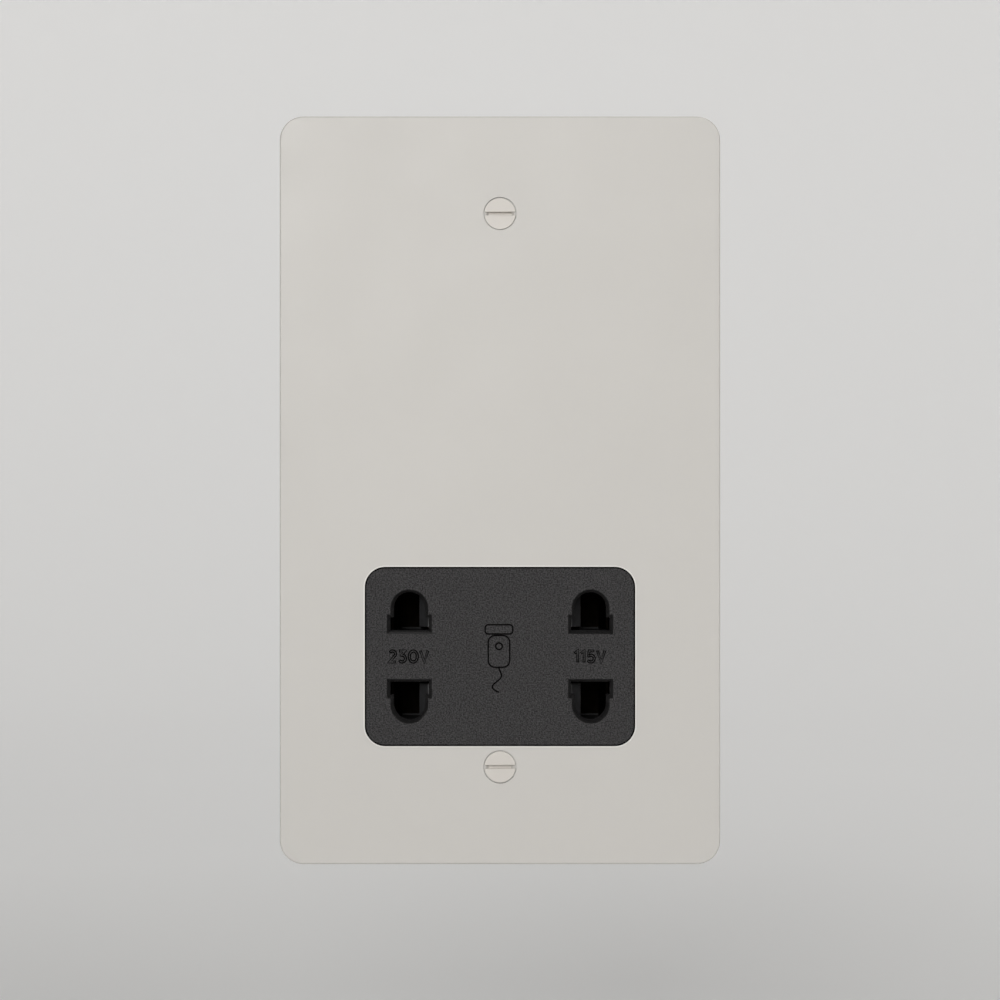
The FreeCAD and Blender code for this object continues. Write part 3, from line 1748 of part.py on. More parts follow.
make_faceplate()
make_wall_gasket()
make_fixing_screws()
make_socket_front()
make_plate_studs()
make_stud_nuts()
make_earth_tag()
make_rear_housing()
make_housing_screws()
make_interlock_shutter()
make_contact_carrier()
make_contact_retainer()
make_carrier_screws()
make_upper_contact("contact_230v", -1)
make_upper_contact("contact_115v", 1)
make_contact_common()
make_centring_spring()
make_switch_fork()
make_switch_contacts()
make_core_e_stack()
make_core_i_stack()
make_core_clamp()
make_core_pads()
make_bobbin()
lower_flange, middle_flange, upper_flange = bobbin_flanges()
make_winding("primary_winding", lower_flange, middle_flange)
make_winding("secondary_winding", middle_flange, upper_flange)
make_coil_tags()
make_thermal_cutout()
make_terminal_block()
make_terminal_clamps()
make_terminal_screws()
make_leads()
doc.recompute()
check_features()
write_parts()
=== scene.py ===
import json
import math

import bmesh
import bpy
from mathutils import Matrix, Vector


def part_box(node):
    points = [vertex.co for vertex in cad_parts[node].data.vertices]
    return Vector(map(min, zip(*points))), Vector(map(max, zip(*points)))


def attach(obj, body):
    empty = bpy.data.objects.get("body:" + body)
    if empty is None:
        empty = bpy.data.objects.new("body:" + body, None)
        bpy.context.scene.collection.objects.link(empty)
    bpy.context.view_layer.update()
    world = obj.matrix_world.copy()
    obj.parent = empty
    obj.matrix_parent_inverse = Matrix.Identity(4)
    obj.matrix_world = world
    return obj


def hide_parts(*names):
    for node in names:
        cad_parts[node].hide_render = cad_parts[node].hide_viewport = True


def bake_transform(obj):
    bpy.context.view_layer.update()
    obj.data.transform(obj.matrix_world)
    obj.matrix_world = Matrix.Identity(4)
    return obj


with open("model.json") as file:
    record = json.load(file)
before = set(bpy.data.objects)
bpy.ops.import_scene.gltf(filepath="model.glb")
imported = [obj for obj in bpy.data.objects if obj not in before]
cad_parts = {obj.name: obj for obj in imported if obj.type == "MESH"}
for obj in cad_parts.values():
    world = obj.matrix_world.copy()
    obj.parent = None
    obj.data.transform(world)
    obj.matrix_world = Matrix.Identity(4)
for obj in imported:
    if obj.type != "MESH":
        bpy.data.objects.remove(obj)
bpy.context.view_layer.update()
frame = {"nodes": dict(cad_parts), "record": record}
nodes = frame["nodes"]

MM = 0.001

# Places and sizes that the dressed pieces take from the part
INSERT_Z = -32.45 * MM
PLATE_FRONT = -2.8 * MM
FIXING_Z = 54 * MM
WINDOW_HALF_WIDTH = 26.5 * MM
WINDOW_HALF_HEIGHT = 17.6 * MM
WINDOW_CORNER = 4.1 * MM
APERTURE_RIM_DEPTH = 1.31 * MM
PLATE_THICKNESS = 2 * MM
TERMINAL_PITCH = 12 * MM
TERMINAL_BORE_Y = 34.6 * MM
LEAD_HOLE_Y = 24 * MM

# How far a cutter reaches past the face that it cuts
BEYOND = 1 * MM


# Materials

def new_material(name, color, roughness, metallic=0.0, **inputs):
    """A principled material with plain numbers, and its nodes."""
    material = bpy.data.materials.new(name)
    material.use_nodes = True
    shader = material.node_tree.nodes["Principled BSDF"]
    shader.inputs["Base Color"].default_value = (*color, 1)
    shader.inputs["Roughness"].default_value = roughness
    shader.inputs["Metallic"].default_value = metallic
    for socket, value in inputs.items():
        shader.inputs[socket.replace("_", " ")].default_value = value
    return material, shader


def object_coordinates(material, scale):
    """The object's own coordinates, stretched along the axes."""
    tree = material.node_tree
    coordinates = tree.nodes.new("ShaderNodeTexCoord")
    mapping = tree.nodes.new("ShaderNodeMapping")
    mapping.inputs["Scale"].default_value = scale
    tree.links.new(coordinates.outputs["Object"], mapping.inputs["Vector"])
    return mapping.outputs["Vector"]


def noise(material, scale, detail=2.0, stretch=(1, 1, 1)):
    """A noise texture's value."""
    tree = material.node_tree
    texture = tree.nodes.new("ShaderNodeTexNoise")
    texture.inputs["Scale"].default_value = scale
    texture.inputs["Detail"].default_value = detail
    tree.links.new(object_coordinates(material, stretch), texture.inputs["Vector"])
    return texture.outputs["Fac"]


def add_bump(material, shader, height, strength, distance):
    """Lets a texture's value raise the surface in the shading."""
    tree = material.node_tree
    bump = tree.nodes.new("ShaderNodeBump")
    bump.inputs["Strength"].default_value = strength
    bump.inputs["Distance"].default_value = distance
    tree.links.new(height, bump.inputs["Height"])
    tree.links.new(bump.outputs["Normal"], shader.inputs["Normal"])


def vary_color(material, shader, factor, dark, light):
    """Mixes two colours by a texture, between its middle values."""
    tree = material.node_tree
    ramp = tree.nodes.new("ShaderNodeValToRGB")
    ramp.color_ramp.elements[0].position = 0.35
    ramp.color_ramp.elements[1].position = 0.65
    ramp.color_ramp.elements[0].color = (*dark, 1)
    ramp.color_ramp.elements[1].color = (*light, 1)
    tree.links.new(factor, ramp.inputs["Fac"])
    tree.links.new(ramp.outputs["Color"], shader.inputs["Base Color"])


def vary_roughness(material, shader, factor, low, high):
    """Lets the roughness follow a texture between two values."""
    tree = material.node_tree
    span = tree.nodes.new("ShaderNodeMapRange")
    span.inputs["From Min"].default_value = 0.3
    span.inputs["From Max"].default_value = 0.7
    span.inputs["To Min"].default_value = low
    span.inputs["To Max"].default_value = high
    tree.links.new(factor, span.inputs["Value"])
    tree.links.new(span.outputs["Result"], shader.inputs["Roughness"])


def shade(color, factor):
    """The colour, darker or lighter by a factor."""
    return tuple(channel * factor for channel in color)


def painted(name, color):
    """Powder coat: satin, with a very fine orange peel."""
    material, shader = new_material(name, color, 0.42, Specular_IOR_Level=0.35)
    add_bump(material, shader, noise(material, 3200, 1.0), 0.05, 0.0001)
    vary_roughness(material, shader, noise(material, 60), 0.38, 0.46)
    return material


def moulded(name, color, roughness=0.5, grain=2600, strength=0.35, mottle=0.1, gloss=0.32):
    """Moulded plastic with the fine texture of a spark-eroded tool."""
    material, shader = new_material(name, color, roughness, Specular_IOR_Level=gloss)
    grain_height = noise(material, grain, 2.0)
    add_bump(material, shader, grain_height, strength, 0.0003)
    vary_color(
        material, shader, grain_height, shade(color, 1 - mottle), shade(color, 1 + mottle)
    )
    return material


def metal(name, color, roughness, brushed=(1, 1, 1), scale=900):
    """Bare or plated metal with slight streaks along one direction."""
    material, shader = new_material(name, color, roughness, 1.0)
    streaks = noise(material, scale, 3.0, brushed)
    vary_roughness(material, shader, streaks, roughness * 0.8, roughness * 1.25)
    vary_color(material, shader, streaks, shade(color, 0.88), shade(color, 1.05))
    return material


def laminated(name, color, pitch):
    """Stacked varnished sheets that show as fine lines across Y."""
    material, shader = new_material(name, color, 0.45, 0.8)
    tree = material.node_tree
    wave = tree.nodes.new("ShaderNodeTexWave")
    wave.wave_type = "BANDS"
    wave.bands_direction = "Y"
    wave.inputs["Scale"].default_value = 0.314 / pitch
    wave.inputs["Distortion"].default_value = 0.4
    tree.links.new(object_coordinates(material, (1, 1, 1)), wave.inputs["Vector"])
    add_bump(material, shader, wave.outputs["Fac"], 0.8, 0.0002)
    vary_color(material, shader, wave.outputs["Fac"], shade(color, 0.55), color)
    return material


def striped_sheath(name, base, stripe):
    """Two-coloured insulation, the stripe running round the lead in a slow spiral."""
    material, shader = new_material(name, base, 0.4)
    tree = material.node_tree
    wave = tree.nodes.new("ShaderNodeTexWave")
    wave.wave_type = "BANDS"
    wave.bands_direction = "DIAGONAL"
    wave.inputs["Scale"].default_value = 60
    tree.links.new(object_coordinates(material, (1, 1, 1)), wave.inputs["Vector"])
    vary_color(material, shader, wave.outputs["Fac"], base, stripe)
    return material


PAINT = painted("plate_paint", (0.604, 0.584, 0.552))
# Lighter paint for the bead on the window's edge: a painted highlight along that edge, not a
# second colour of the plate.
BEAD_PAINTED_HIGHLIGHT = painted("plate_bead_painted_highlight", (0.75, 0.73, 0.695))
# Near-black paint for the upright sides of the window and of the screw rims: painted shade for
# the shadow deep in the gaps.
PAINTED_GAP_SHADE = painted("plate_painted_gap_shade", (0.02, 0.02, 0.02))
SCREW = painted("screw_metal", (0.65, 0.615, 0.57))
BLACK = moulded("black_moulding", (0.0305, 0.0290, 0.0298), 0.55, 3600, 1.0, 0.8)
# Near-black moulding for the faces of the housing's engraved marks: painted shade in the
# grooves.
HOUSING_GROOVE_SHADE = moulded(
    "housing_grey_painted_groove_shade", (0.008, 0.008, 0.009), 0.9, 1800, 0.2, gloss=0.05
)
# Near-black moulding for the faces of engraved grooves and for the insert's own edge: painted
# shade in these recesses and in the gap.
GROOVE_AND_GAP_SHADE = moulded(
    "black_moulding_groove_and_gap_shade", (0.0012, 0.0012, 0.0012), 0.9, 3600, 0.2, gloss=0.03
)
# Darker moulding for the sloping rims of the pin apertures: painted shade, as the rims lie in
# shadow.
APERTURE_RIM_SHADE = moulded("black_moulding_painted_rim_shade", (0.0125, 0.0120, 0.0122), 0.6, 3600, 0.6, 0.4)
HOUSING = moulded("housing_grey", (0.055, 0.056, 0.060), 0.5, 1800, 0.3, 0.15)
ZINC = metal("zinc_steel", (0.60, 0.61, 0.62), 0.34)
# The contacts are near black: painted shade for the dark depth of the apertures, not bronze's
# own colour.
BRONZE_PAINTED_SHADE = metal("contact_bronze", (0.003, 0.0022, 0.0016), 0.6, (1, 0.1, 1))
BRASS = metal("terminal_brass", (0.76, 0.57, 0.24), 0.28, (1, 1, 0.1))

MATERIALS = {
    "plate_paint": PAINT,
    "screw_metal": SCREW,
    "black_moulding": BLACK,
    "shutter_grey": moulded("shutter_grey", (0.030, 0.030, 0.031), 0.4, 900, 0.05),
    "gasket_foam": moulded("gasket_foam", (0.035, 0.035, 0.035), 0.85, 1500, 0.9),
    "zinc_steel": ZINC,
    "tinned_copper": metal("tinned_copper", (0.72, 0.69, 0.64), 0.3),
    "housing_grey": HOUSING,
    "carrier_moulding": moulded("carrier_moulding", (0.006, 0.006, 0.006), 0.6, 900, 0.05),
    "contact_bronze": BRONZE_PAINTED_SHADE,
    "spring_steel": metal("spring_steel", (0.55, 0.55, 0.56), 0.25, (1, 1, 0.1)),
    "core_steel": laminated("core_steel", (0.20, 0.21, 0.23), 0.0005),
    "bobbin_nylon": moulded("bobbin_nylon", (0.72, 0.70, 0.62), 0.4, 900, 0.05),
    "copper_wire": laminated("copper_wire", (0.50, 0.17, 0.07), 0.0004),
    "winding_tape": moulded("winding_tape", (0.70, 0.52, 0.08), 0.3, 400, 0.1),
    "cutout_case": moulded("cutout_case", (0.10, 0.10, 0.12), 0.4, 900, 0.1),
    "block_nylon": moulded("block_nylon", (0.62, 0.61, 0.58), 0.45, 900, 0.05),
    "terminal_brass": BRASS,
    "pad_rubber": moulded("pad_rubber", (0.03, 0.03, 0.03), 0.8, 900, 0.3),
    "lead_brown": moulded("lead_brown", (0.16, 0.07, 0.03), 0.35, 900, 0.02),
    "lead_blue": moulded("lead_blue", (0.03, 0.12, 0.42), 0.35, 900, 0.02),
    "lead_grey": moulded("lead_grey", (0.30, 0.30, 0.30), 0.35, 900, 0.02),
    "lead_black": moulded("lead_black", (0.02, 0.02, 0.02), 0.35, 900, 0.02),
    "lead_green_yellow": striped_sheath(
        "lead_green_yellow", (0.06, 0.30, 0.05), (0.75, 0.60, 0.03)
    ),
}

for part in frame["record"]["subparts"]:
    mesh = nodes[part["node"]].data
    mesh.materials.clear()
    mesh.materials.append(MATERIALS[part["material_slot"]])


# Mesh helpers

WELD_DISTANCE = 2e-6


def link(name, data):
    """A new object in the scene from a mesh or curve."""
    obj = bpy.data.objects.new(name, data)
    bpy.context.scene.collection.objects.link(obj)
    return obj


def evaluated_mesh(obj):
    """The object's mesh with its modifiers applied."""
    graph = bpy.context.evaluated_depsgraph_get()
    return bpy.data.meshes.new_from_object(obj.evaluated_get(graph))


def smooth_by_angle(obj, degrees=35):
    """Smooth shading that keeps sharp edges, and keeps large flat faces flat."""
    mesh = obj.data
    mesh.polygons.foreach_set("use_smooth", [True] * len(mesh.polygons))
    mesh.set_sharp_from_angle(angle=math.radians(degrees))
    modifier = obj.modifiers.new("flat_faces", "WEIGHTED_NORMAL")
    modifier.keep_sharp = True
    modifier.weight = 100
    mesh = evaluated_mesh(obj)
    obj.modifiers.clear()
    obj.data = mesh


def merged_copy(node):
    """A new object with a CAD node's shape, its faces joined and its flat faces whole."""
    edit = bmesh.new()
    edit.from_mesh(nodes[node].data)
    bmesh.ops.remove_doubles(edit, verts=edit.verts, dist=WELD_DISTANCE)
    bmesh.ops.dissolve_limit(
        edit, angle_limit=math.radians(0.5), verts=edit.verts, edges=edit.edges
    )
    mesh = bpy.data.meshes.new(f"{node}_mesh")
    edit.to_mesh(mesh)
    edit.free()
    mesh.materials.append(nodes[node].data.materials[0])
    return link(f"{node}_detailed", mesh)


def spare_edges(obj, degrees, spared):
    """Gives a bevel weight to the edges sharper than the angle that aren't spared."""
    edit = bmesh.new()
    edit.from_mesh(obj.data)
    weight = edit.edges.layers.float.new("bevel_weight_edge")
    for edge in edit.edges:
        sharp = len(edge.link_faces) == 2 and edge.calc_face_angle() > math.radians(degrees)
        edge[weight] = float(sharp and not spared(edge))
    edit.to_mesh(obj.data)
    edit.free()


def round_edges(obj, width, segments=2, degrees=30, spared=None):
    """Rounds every edge sharper than the angle, for good, but for the spared ones."""
    modifier = obj.modifiers.new("round", "BEVEL")
    modifier.width = width
    modifier.segments = segments
    modifier.limit_method = "ANGLE"
    if spared:
        spare_edges(obj, degrees, spared)
        modifier.limit_method = "WEIGHT"
    modifier.angle_limit = math.radians(degrees)
    modifier.use_clamp_overlap = True
    modifier.miter_outer = "MITER_ARC"
    mesh = evaluated_mesh(obj)
    obj.modifiers.clear()
    obj.data = mesh


def combine(obj, other, operation="DIFFERENCE"):
    """Cuts the other object from this one, or joins it, for good, and removes it."""
    modifier = obj.modifiers.new("combine", "BOOLEAN")
    modifier.operation = operation
    modifier.solver = "EXACT"
    modifier.use_self = True
    modifier.object = other
    mesh = evaluated_mesh(obj)
    obj.modifiers.clear()
    obj.data = mesh
    bpy.data.objects.remove(other)


def join(name, objects):
    """One object from several that lie apart or only touch."""
    edit = bmesh.new()
    for obj in objects:
        edit.from_mesh(obj.data)
    mesh = bpy.data.meshes.new(name)
    edit.to_mesh(mesh)
    edit.free()
    for obj in objects:
        bpy.data.objects.remove(obj)
    return link(name, mesh)


def mark_faces(obj, index, *materials):
    """Gives an object these materials and puts all of its faces in one slot."""
    obj.data.materials.clear()
    for material in materials:
        obj.data.materials.append(material)
    obj.data.polygons.foreach_set("material_index", [index] * len(obj.data.polygons))


def stands_for(obj, node, body="socket", others=()):
    """The object takes a CAD node's place, slot, material and body. A piece that is to be
    blended across a joint gets no body here."""
    slot = next(p for p in frame["record"]["subparts"] if p["node"] == node)
    marked = [polygon.material_index for polygon in obj.data.polygons]
    obj.data.materials.clear()
    obj.data.materials.append(MATERIALS[slot["material_slot"]])
    if others:
        for material in others:
            obj.data.materials.append(material)
        obj.data.polygons.foreach_set("material_index", marked)
    if body:
        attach(obj, body)
    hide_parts(node)


def grid_mesh(name, rings, closed_ends=True):
    """A skin over rings of points with equal counts, capped at both ends."""
    edit = bmesh.new()
    rows = [[edit.verts.new(point) for point in ring] for ring in rings]
    count = len(rings[0])
    for low, high in zip(rows, rows[1:]):
        for step in range(count):
            after = (step + 1) % count
            edit.faces.new((low[step], low[after], high[after], high[step]))
    if closed_ends:
        edit.faces.new(rows[0][::-1])
        edit.faces.new(rows[-1])
    bmesh.ops.recalc_face_normals(edit, faces=edit.faces)
    mesh = bpy.data.meshes.new(name)
    edit.to_mesh(mesh)
    edit.free()
    return link(name, mesh)


def ring(x, z, y, radius, count):
    """Points round an axis along Y."""
    turns = (2 * math.pi * step / count for step in range(count))
    return [(x + radius * math.cos(t), y, z + radius * math.sin(t)) for t in turns]


def lathe(name, x, z, profile, count=64):
    """A turned piece about an axis along Y, from (radius, depth) pairs."""
    return grid_mesh(name, [ring(x, z, y, radius, count) for radius, y in profile])


def threaded_rod(name, x, z, start, end, radius, pitch, count=36, rows_per_turn=6):
    """A rod with a real helical thread whose crests reach the radius."""
    depth = pitch * 0.54
    rows = int((end - start) / pitch * rows_per_turn)
    rings = []
    for row in range(rows + 1):
        y = start + (end - start) * row / rows
        points = []
        for step in range(count):
            turn = step / count
            phase = (y / pitch - turn) % 1
            height = min(1.0, abs(phase * 2 - 1) * 1.35)
            reach = radius - depth * (1 - height)
            angle = 2 * math.pi * turn
            points.append((x + reach * math.cos(angle), y, z + reach * math.sin(angle)))
        rings.append(points)
    return grid_mesh(name, rings)


def box(name, low, high):
    """A block between two corners."""
    edit = bmesh.new()
    bmesh.ops.create_cube(edit, size=1)
    centre = (Vector(low) + Vector(high)) / 2
    span = Vector(high) - Vector(low)
    for vertex in edit.verts:
        vertex.co = centre + Vector(c * s for c, s in zip(vertex.co, span))
    mesh = bpy.data.meshes.new(name)
    edit.to_mesh(mesh)
    edit.free()
    return link(name, mesh)


def tube_curve(name, lines, radius, resolution=3):
    """Round tubes along lists of points; a list's flag says if its line closes."""
    curve = bpy.data.curves.new(name, "CURVE")
    curve.dimensions = "3D"
    curve.bevel_depth = radius
    curve.bevel_resolution = resolution
    curve.use_fill_caps = True
    for points, closed in lines:
        spline = curve.splines.new("POLY")
        spline.points.add(len(points) - 1)
        for point, place in zip(spline.points, points):
            point.co = (*place, 1)
        spline.use_cyclic_u = closed
    return link(name, curve)


def as_mesh(obj):
    """Turns a curve object into a mesh object."""
    mesh = evaluated_mesh(obj)
    mesh.transform(obj.matrix_world)
    result = link(f"{obj.name}_mesh", mesh)
    bpy.data.objects.remove(obj)
    return result


# The black insert with its engraved marks

# Groove radii, and half the width of a letter's outlined stroke
MARK_RADIUS = 0.15 * MM
LETTER_RADIUS = 0.13 * MM
LETTER_HALF = 0.2 * MM
LETTER_HEIGHT = 2.16 * MM


def glyph_arc(centre, reach, start, end, count=12):
    """Points (x, z) on an ellipse, from one angle in degrees to another."""
    angles = (math.radians(start + (end - start) * n / count) for n in range(count + 1))
    return [
        (centre[0] + reach[0] * math.cos(a), centre[1] + reach[1] * math.sin(a))
        for a in angles
    ]


# The middle lines of the characters, for a height of 1
GLYPHS = {
    "0": glyph_arc((0.36, 0.5), (0.36, 0.5), 0, 360, 28)[:-1],
    "1": [(0, 0.8), (0.26, 1), (0.26, 0)],
    "2": glyph_arc((0.27, 0.73), (0.26, 0.27), 150, -40) + [(0, 0), (0.53, 0)],
    "3": [(0, 1), (0.5, 1), (0.22, 0.62)] + glyph_arc((0.26, 0.31), (0.29, 0.31), 95, -150),
    "5": [(0.52, 1), (0.1, 1), (0.05, 0.55)] + glyph_arc((0.25, 0.31), (0.3, 0.31), 130, -145),
    "V": [(0, 1), (0.325, 0), (0.65, 1)],
    "L": [(0, 1), (0, 0), (0.5, 0)],
    "N": [(0, 0), (0, 1), (0.62, 0), (0.62, 1)],
}
# Each character of the two ratings with its left edge in mm
RATINGS = (
    ("2", -21.55), ("3", -19.65), ("0", -17.7), ("V", -15.5),
    ("1", 14.6), ("1", 15.85), ("5", 17.2), ("V", 19.05),
)


def beside(points, distance, closed):
    """A line that runs beside another at a distance."""
    result = []
    for index, (x, z) in enumerate(points):
        before = points[index - 1] if closed or index else None
        after = points[(index + 1) % len(points)] if closed or index + 1 < len(points) else None
        normals = []
        for first, last in ((before, (x, z)), ((x, z), after)):
            if first and last:
                along = Vector((last[0] - first[0], last[1] - first[1])).normalized()
                normals.append(Vector((-along.y, along.x)))
        middle_normal = sum(normals, Vector((0, 0))).normalized()
        reach = distance / max(middle_normal.dot(normals[0]), 0.45)
        result.append((x + middle_normal.x * reach, z + middle_normal.y * reach))
    return result


def character(name, left, low, height, face, turned=False):
    """The outline of one character on a flat face, turned to be read from behind if asked."""
    points = [(x * height, z * height) for x, z in GLYPHS[name]]
    closed = name == "0"
    outer, inner = beside(points, LETTER_HALF, closed), beside(points, -LETTER_HALF, closed)
    loops = [outer, inner] if closed else [outer + inner[::-1]]
    side = -1 if turned else 1
    return [([(left + side * x, face, low + z) for x, z in loop], True) for loop in loops]


def arc_points(x, z, radius, start, end, count):
    """Points on the insert's face along an arc, angles in degrees."""
    angles = (math.radians(start + (end - start) * n / count) for n in range(count + 1))
    return [
        (x + radius * math.cos(a), PLATE_FRONT, z + radius * math.sin(a)) for a in angles
    ]


def rounded_outline(x, z, half_width, half_height, radius, count=5):
    """A closed rounded rectangle on the insert's face."""
    points = []
    for side_x, side_z, start in ((1, 1, 0), (-1, 1, 90), (-1, -1, 180), (1, -1, 270)):
        centre = (x + side_x * (half_width - radius), z + side_z * (half_height - radius))
        points += arc_points(*centre, radius, start, start + 90, count)
    return points


def shaver_mark():
    """A plain outline of a shaver with its cord, as a generic sign for the socket's use."""
    x, top = -0.2 * MM, INSERT_Z + 6.2 * MM
    head = rounded_outline(x, top - 0.9 * MM, 2.7 * MM, 0.9 * MM, 0.6 * MM)
    body = rounded_outline(x, top - 5.2 * MM, 2.1 * MM, 3.1 * MM, 1.3 * MM)
    button = arc_points(x, top - 4.2 * MM, 0.65 * MM, 0, 360, 24)[:-1]
    cord = [(x, PLATE_FRONT, top - 8.3 * MM)]
    for step in range(1, 37):
        share = step / 36
        sway = 1.7 * MM * math.sin(share * 2 * math.pi) * share
        cord.append((x + sway, PLATE_FRONT, top - (8.3 + 4.9 * share) * MM))
    return [(head, True), (body, True), (button, True), (cord, False)]


def engrave(obj, lines, radius):
    """Cuts grooves along lines; their faces get the object's second material, a darker colour
    that is painted shade in the grooves.
    """
    marks = as_mesh(tube_curve("marks", lines, radius))
    mark_faces(marks, 1, *obj.data.materials)
    combine(obj, marks)


def shade_edges(front):
    """Painted shade: darker colours for the sloping rims of the apertures, and the darkest for
    the insert's own edge, where the gap to the plate lies in shadow.
    """
    for polygon in front.data.polygons:
        centre = polygon.center
        if polygon.material_index or polygon.normal.y < -0.95:
            continue
        inside = (
            abs(centre.x) < WINDOW_HALF_WIDTH - 1 * MM
            and abs(centre.z - INSERT_Z) < WINDOW_HALF_HEIGHT - 1 * MM
        )
        if inside and centre.y < PLATE_FRONT + APERTURE_RIM_DEPTH:
            polygon.material_index = 2
        elif not inside and centre.y < PLATE_FRONT + PLATE_THICKNESS:
            polygon.material_index = 1


def detailed_insert():
    """The insert with its generic mark and its two ratings."""
    front = merged_copy("socket_front")
    # The second and third materials are painted shade: for the grooves and the gap at the
    # insert's edge, and for the aperture rims.
    mark_faces(front, 0, BLACK, GROOVE_AND_GAP_SHADE, APERTURE_RIM_SHADE)
    engrave(front, shaver_mark(), MARK_RADIUS)
    letters = []
    for name, left in RATINGS:
        low = INSERT_Z - LETTER_HEIGHT / 2
        letters += character(name, left * MM, low, LETTER_HEIGHT, PLATE_FRONT)
    engrave(front, letters, LETTER_RADIUS)
    shade_edges(front)
    smooth_by_angle(front)
    stands_for(front, "socket_front", others=(GROOVE_AND_GAP_SHADE, APERTURE_RIM_SHADE))


# The plate with its window

PLATE_ROUNDING = 0.09 * MM
# The upright rim round each screw head
FIXING_RIM = 3.24 * MM
FIXING_RIM_DEPTH = 0.4 * MM
# The bead of paint on the window's edge
BEAD_OUTSIDE = 0.16 * MM
BEAD_INSIDE = 0.10 * MM
BEAD_PROUD = 0.004 * MM
BEAD_DEPTH = 0.5 * MM


def near_window(point):
    """Whether a point lies on the edge of the plate's window or inside it."""
    margin = 1 * MM
    across = abs(point.x) < WINDOW_HALF_WIDTH + margin
    return across and abs(point.z - INSERT_Z) < WINDOW_HALF_HEIGHT + margin


def near_screw(point):
    """Whether a point lies on the rim round a screw head or inside it."""
    return math.hypot(point.x, abs(point.z) - FIXING_Z) < FIXING_RIM + 0.1 * MM


def window_prism(offset, front, back):
    """A block with the window's outline, grown by the offset."""
    outline = rounded_outline(
        0, INSERT_Z, WINDOW_HALF_WIDTH + offset, WINDOW_HALF_HEIGHT + offset,
        WINDOW_CORNER + offset, count=20,
    )
    rings = [[(x, PLATE_FRONT + y, z) for x, _, z in outline] for y in (front, back)]
    return grid_mesh("window_prism", rings)


def window_bead():
    """The bead of paint on the edge of the plate's window, which narrows the gap a little."""
    bead = window_prism(BEAD_OUTSIDE, -BEAD_PROUD, BEAD_DEPTH)
    combine(bead, window_prism(-BEAD_INSIDE, -BEYOND, BEAD_DEPTH + BEYOND))
    return bead


def detailed_faceplate():
    """The plate, with an upright rim cut round each screw head and a crisp window. The bead on
    the window's edge gets a lighter paint, a painted highlight, and the upright sides of the
    window and of the two rims get a near-black paint, painted shade for the shadow in the gaps."""
    plate = merged_copy("faceplate")
    for z in (FIXING_Z, -FIXING_Z):
        rim = [(FIXING_RIM, PLATE_FRONT - BEYOND), (FIXING_RIM, PLATE_FRONT + FIXING_RIM_DEPTH)]
        combine(plate, lathe("rim", 0, z, rim, 72))
    round_edges(
        plate,
        PLATE_ROUNDING,
        spared=lambda edge: all(near_window(v.co) or near_screw(v.co) for v in edge.verts),
    )
    bead = window_bead()
    mark_faces(plate, 0, PAINT, BEAD_PAINTED_HIGHLIGHT, PAINTED_GAP_SHADE)
    # The bead takes the lighter paint, a painted highlight.
    mark_faces(bead, 1, PAINT, BEAD_PAINTED_HIGHLIGHT, PAINTED_GAP_SHADE)
    combine(plate, bead, "UNION")
    # Painted shade: the upright sides of the window and of the screw rims take the near-black
    # paint.
    for polygon in plate.data.polygons:
        place = polygon.center
        if abs(polygon.normal.y) < 0.1 and (near_window(place) or near_screw(place)):
            polygon.material_index = 2
    smooth_by_angle(plate)
    stands_for(plate, "faceplate", others=(BEAD_PAINTED_HIGHLIGHT, PAINTED_GAP_SHADE))


# Screws, studs and nuts

def solid_spans(node, count):
    """The x, y and z span of each separate solid of a node."""
    edit = bmesh.new()
    edit.from_mesh(nodes[node].data)
    bmesh.ops.remove_doubles(edit, verts=edit.verts, dist=WELD_DISTANCE)
    seen, solids = set(), []
    for vertex in edit.verts:
        if vertex in seen:
            continue
        island, front = [], [vertex]
        seen.add(vertex)
        while front:
            corner = front.pop()
            island.append(corner.co.copy())
            for edge in corner.link_edges:
                other = edge.other_vert(corner)
                if other not in seen:
                    seen.add(other)
                    front.append(other)
        solids.append([(min(values), max(values)) for values in zip(*island)])
    edit.free()
    if len(solids) != count:
        raise RuntimeError(f"{node} has {len(solids)} solids")
    return solids


def middle(span):
    """The middle of a (low, high) pair."""
    return (span[0] + span[1]) / 2


def slot_cutter(name, x, z, half_length, half_width, start, end, turn=0.0):
    """A bar across an axis along Y, turned about it."""
    cutter = box(name, (-half_length, start, -half_width), (half_length, end, half_width))
    cutter.data.transform(Matrix.Rotation(turn, 4, "Y"))
    cutter.data.transform(Matrix.Translation((x, 0, z)))
    return cutter


THREAD_RADIUS = {"fixing": 1.75 * MM, "housing": 1.4 * MM, "terminal": 1.5 * MM}
THREAD_PITCH = {"fixing": 0.6 * MM, "housing": 1.0 * MM, "terminal": 0.5 * MM, "stud": 0.5 * MM}
HEAD_ROUNDING = 0.05 * MM
FIXING_HEAD = 3.08 * MM
FIXING_NECK = 1.45 * MM
FIXING_EDGE = 0.06 * MM
FIXING_SLOT_HALF = 0.35 * MM
FIXING_SLOT_DEPTH = 1.0 * MM


